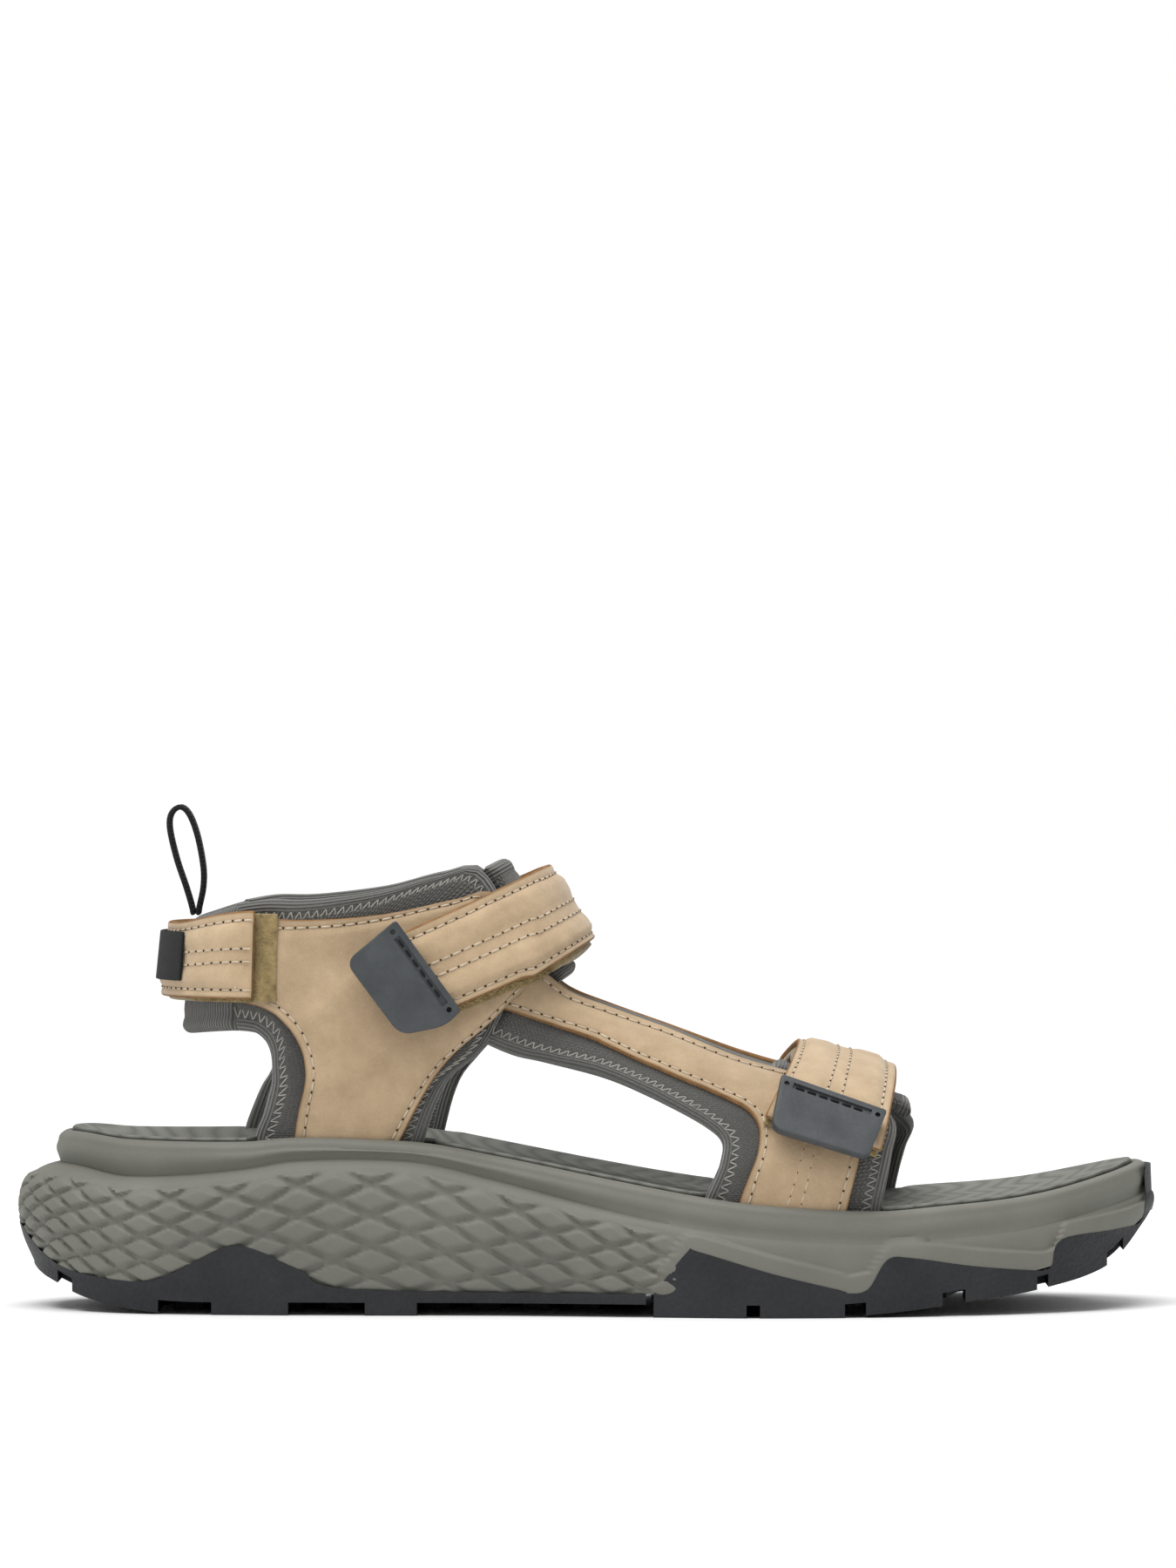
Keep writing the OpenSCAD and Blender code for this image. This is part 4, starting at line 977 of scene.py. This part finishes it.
for key, band, loop_ends, hook_ends, back, patch, hooks, outer in [
        ["instep", INSTEP_TAPE_BAND, [-36, -13], [-34, -9.4], [-8.6, -4, -2.8, 2.8, 4, 14],
         INSTEP_PATCH, INSTEP_TAPE, INSTEP_STRAP],
        ["forefoot", FORE_TAPE_BAND, [-16, -4], [FORE_END + 0.3, -2.16], [-1.84, -1.2, -0.84, 0.84, 1.2, 4.5],
         FORE_PATCH, FORE_TAPE, FORE_STRAP]]:
    surface = band_surface(band)
    loops_and_hooks(key, [surface, surface], root(np.array(loop_ends)), root(np.array(hook_ends)), patch,
                    hooks)
    back = root(np.array(back))
    u = spread(surface, back[0], back[-1], 1.0)
    low = np.interp(u, back, [patch, patch, LEATHER_LOW, LEATHER_LOW, patch, patch])
    backing(key, surface, u, low, outer - GAP)

patch_surface = heel_surface(lambda a: heel_low(a, -0.8), lambda a: heel_high(a, 0.8))
surface = heel_surface(lambda a: heel_low(a, -0.9), lambda a: heel_high(a, 0.4))
loops_and_hooks("heel", [patch_surface, surface], [-73, -42], [HEEL_END + 1, HEEL_SEAM - 0.6], HEEL_PATCH,
                HEEL_TAPE)
backing("heel", surface, spread(surface, HEEL_SEAM + 0.6, 40, 1.2), HEEL_PATCH, HEEL_STRAP - GAP)

# ---- Label and pull loop ----

surface = heel_surface(lambda a: 86.4 + 0 * a, lambda a: 99.2 + 0 * a)
u = spread(surface, -33, 33, 1.0, 13.0)
label_low = HEEL_STRAP + LEATHER + GAP + 0.7
strip("heel_label_patch", surface, u, label_low, label_low + 0.8, [LABEL_PAINT], "sandal", radius=0.3,
      nodes=["heel_label"], slot="black_webbing")

LOOP_PATH = [[-104.2, 103.1], [-104.4, 105], [-106, 110.5], [-108.5, 118], [-110.3, 126], [-109.8, 130],
             [-107.4, 131.6], [-105.1, 129.6], [-103, 124], [-101.5, 116], [-101.5, 110.5], [-102.6, 105],
             [-102.8, 103.1]]
LOOP_W, LOOP_T = 9.0, 1.4


def loop_surface(u, t, depth):
    last = len(LOOP_PATH) - 1
    a, b = along(LOOP_PATH, clamp(u - 0.02, 0, last)), along(LOOP_PATH, clamp(u + 0.02, 0, last))
    d = unit(b - a)
    p = along(LOOP_PATH, u) + np.stack([-d[..., 1], d[..., 0]], -1) * np.asarray(depth)[..., None]
    return np.stack([p[..., 0], (t - 0.5) * LOOP_W, p[..., 1]], -1)


u = spread(loop_surface, 0, len(LOOP_PATH) - 1, 0.8, 0.0)
webbing = strip("pull_loop_webbing", loop_surface, u, -LOOP_T / 2, LOOP_T / 2, [WEB_PAINT], None, step=0.6,
                nodes=["heel_pull_loop"], slot="black_webbing")
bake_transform(webbing)


# ---- Pull tabs ----

def rounded(corners, radii):
    """Outline with each corner rounded off, starting radius away along both of its sides."""
    p, made = np.asarray(corners, float), []
    for k, radius in enumerate(radii):
        a, b, c = p[k - 1], p[k], p[(k + 1) % len(p)]
        start, end = b + unit(a - b) * radius, b + unit(c - b) * radius
        for t in np.linspace(0, 1, 7):
            made.append(mix(mix(start, b, t), mix(b, end, t), t))
    return made


def tab(key, surface, station, towards, outline, radii, depth, skew, body):
    """Moulded rubber tab with a stitched slot and two dimples, lying on a strap."""
    at = surface(np.array([station, towards]), np.array([0.5, 0.5]), np.array([depth, depth]))
    side = surface(np.array([station] * 2), np.array([0.45, 0.55]), np.array([depth, depth]))
    run = unit(at[1] - at[0])
    n = unit(np.cross(run, side[1] - side[0]))
    if n @ (surface(np.array([station]), np.array([0.5]), np.array([depth + 1]))[0] - at[0]) < 0:
        n = -n
    over = np.cross(n, run)
    turn = np.array([run, over, n])
    c, s = math.cos(math.radians(skew)), math.sin(math.radians(skew))

    def place(points):
        p = np.asarray(points, float)
        q = np.column_stack([c * p[:, 0] - s * p[:, 1], s * p[:, 0] + c * p[:, 1], p[:, 2]])
        shift = np.array([-8 * c, -8 * s, 0])
        return at[0] + (q + shift) @ turn

    def solid(name, flat, low, high, paint):
        points = [[p[0], p[1], z] for z in (low, high) for p in flat]
        return make(name, place(points), joined(len(flat)), [paint], None)

    flat = rounded([[p[0] * TAB_L, p[1] * TAB_W] for p in outline], radii)
    made = solid(key + "_tab", flat, 0, TAB_T, TAB_PAINT)
    work = bmesh.new()
    work.from_mesh(made.data)
    sharp = [e for e in work.edges if e.calc_face_angle() > 1]
    bmesh.ops.bevel(work, geom=sharp, offset=0.55 * MM, segments=3, affect="EDGES", profile=0.6)
    work.to_mesh(made.data)
    work.free()
    slot_w = TAB_W * 0.37
    slot = [[1.6, -slot_w], [3.4, -slot_w], [3.4, slot_w], [1.6, slot_w]]
    carve(made, solid("slot_tool", slot, TAB_T - TAB_DENT, TAB_T + 2, TAB_PAINT))
    for y in (-0.43, 0.43):
        dimple = [[2.5 + 0.7 * math.cos(a), TAB_W * y + 0.7 * math.sin(a)] for a in np.arange(20) * PI / 10]
        carve(made, solid("dimple_tool", dimple, TAB_T - TAB_DENT, TAB_T + 2, DARK_THREAD))
    made.data.shade_smooth()
    made.data.set_sharp_from_angle(angle=math.radians(35))
    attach(made, body)
    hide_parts(key + "_pull_tab")
    line = place([[2.5, y, TAB_T - 0.5] for y in np.linspace(-slot_w + 0.8, slot_w - 0.8, 30)])
    threads(key + "_tab_stitches", running(line)[0], 0.34, DARK_THREAD, body, slot="tab_rubber")


INSTEP_TAB = [[0, 0.5], [0.34, 0.53], [0.98, 0.36], [1, -0.46], [0, -0.5]]
FORE_TAB = [[0, 0.5], [0.93, 0.47], [1, -0.44], [0, -0.5]]
tab("instep", band_surface(INSTEP_BAND), root(-37), root(-40), INSTEP_TAB, [1, 3, 3.5, 3.5, 1],
    INSTEP_STRAP + LEATHER + GAP, 13, "instep_tail")
tab("forefoot", band_surface(FORE_BAND), root(-14.2), root(-16), FORE_TAB, [1, 2.5, 3.5, 1],
    FORE_STRAP + LEATHER + GAP, 0, "forefoot_tail")


# ---- Camera, light and floor ----

SHOT_ELEVATION = 2.2  # degrees above the floor
LENS, SHOT_DISTANCE = 226.0, 2.6
WORLD_LIGHT = 0.48

camera = bpy.data.objects.new("shot", bpy.data.cameras.new("shot"))
bpy.context.scene.collection.objects.link(camera)
bpy.context.scene.camera = camera
camera.data.lens = LENS
camera.data.sensor_width = 36
camera.data.shift_y = 0.173  # the sandal sits in the lower half of the frame
target = Vector((0, 0, 0.066))
tilt = math.radians(SHOT_ELEVATION)
camera.location = target + Vector((0, -math.cos(tilt), math.sin(tilt))) * SHOT_DISTANCE
camera.rotation_euler = (math.radians(90) - tilt, 0, 0)

floor = bpy.data.objects.new("floor", bpy.data.meshes.new("floor"))
floor.data.from_pydata([(-6, -6, 0), (6, -6, 0), (6, 6, 0), (-6, 6, 0)], [], [(0, 1, 2, 3)])
white = Paint("floor_white", 0.6)
white.shader.inputs["Base Color"].default_value = (0.92, 0.92, 0.92, 1)
floor.data.materials.append(white.material)
bpy.context.scene.collection.objects.link(floor)


def area_light(name, place, size, power):
    light = bpy.data.lights.new(name, "AREA")
    light.shape, light.size, light.energy = "DISK", size, power
    thing = bpy.data.objects.new(name, light)
    thing.location = place
    thing.rotation_euler = (target - Vector(place)).to_track_quat("-Z", "Y").to_euler()
    bpy.context.scene.collection.objects.link(thing)


area_light("key", (-0.6, -0.9, 1.2), 0.6, 3)
area_light("back", (0.4, 1.0, 1.2), 0.8, 4)
sun = bpy.data.objects.new("overhead", bpy.data.lights.new("overhead", "SUN"))
sun.data.energy, sun.data.angle = 2.45, math.radians(45)
sun.rotation_euler = (math.radians(14), math.radians(-8), 0)
bpy.context.scene.collection.objects.link(sun)
world = bpy.data.worlds.new("studio")
world.use_nodes = True
world.node_tree.nodes["Background"].inputs["Color"].default_value = (1, 1, 1, 1)
seen = world.node_tree.nodes.new("ShaderNodeLightPath").outputs["Is Camera Ray"]
strength = world.node_tree.nodes.new("ShaderNodeMapRange")
strength.inputs[3].default_value, strength.inputs[4].default_value = WORLD_LIGHT, 1.0
world.node_tree.links.new(seen, strength.inputs[0])
world.node_tree.links.new(strength.outputs[0], world.node_tree.nodes["Background"].inputs["Strength"])
bpy.context.scene.world = world
bpy.context.scene.view_settings.view_transform = "Standard"
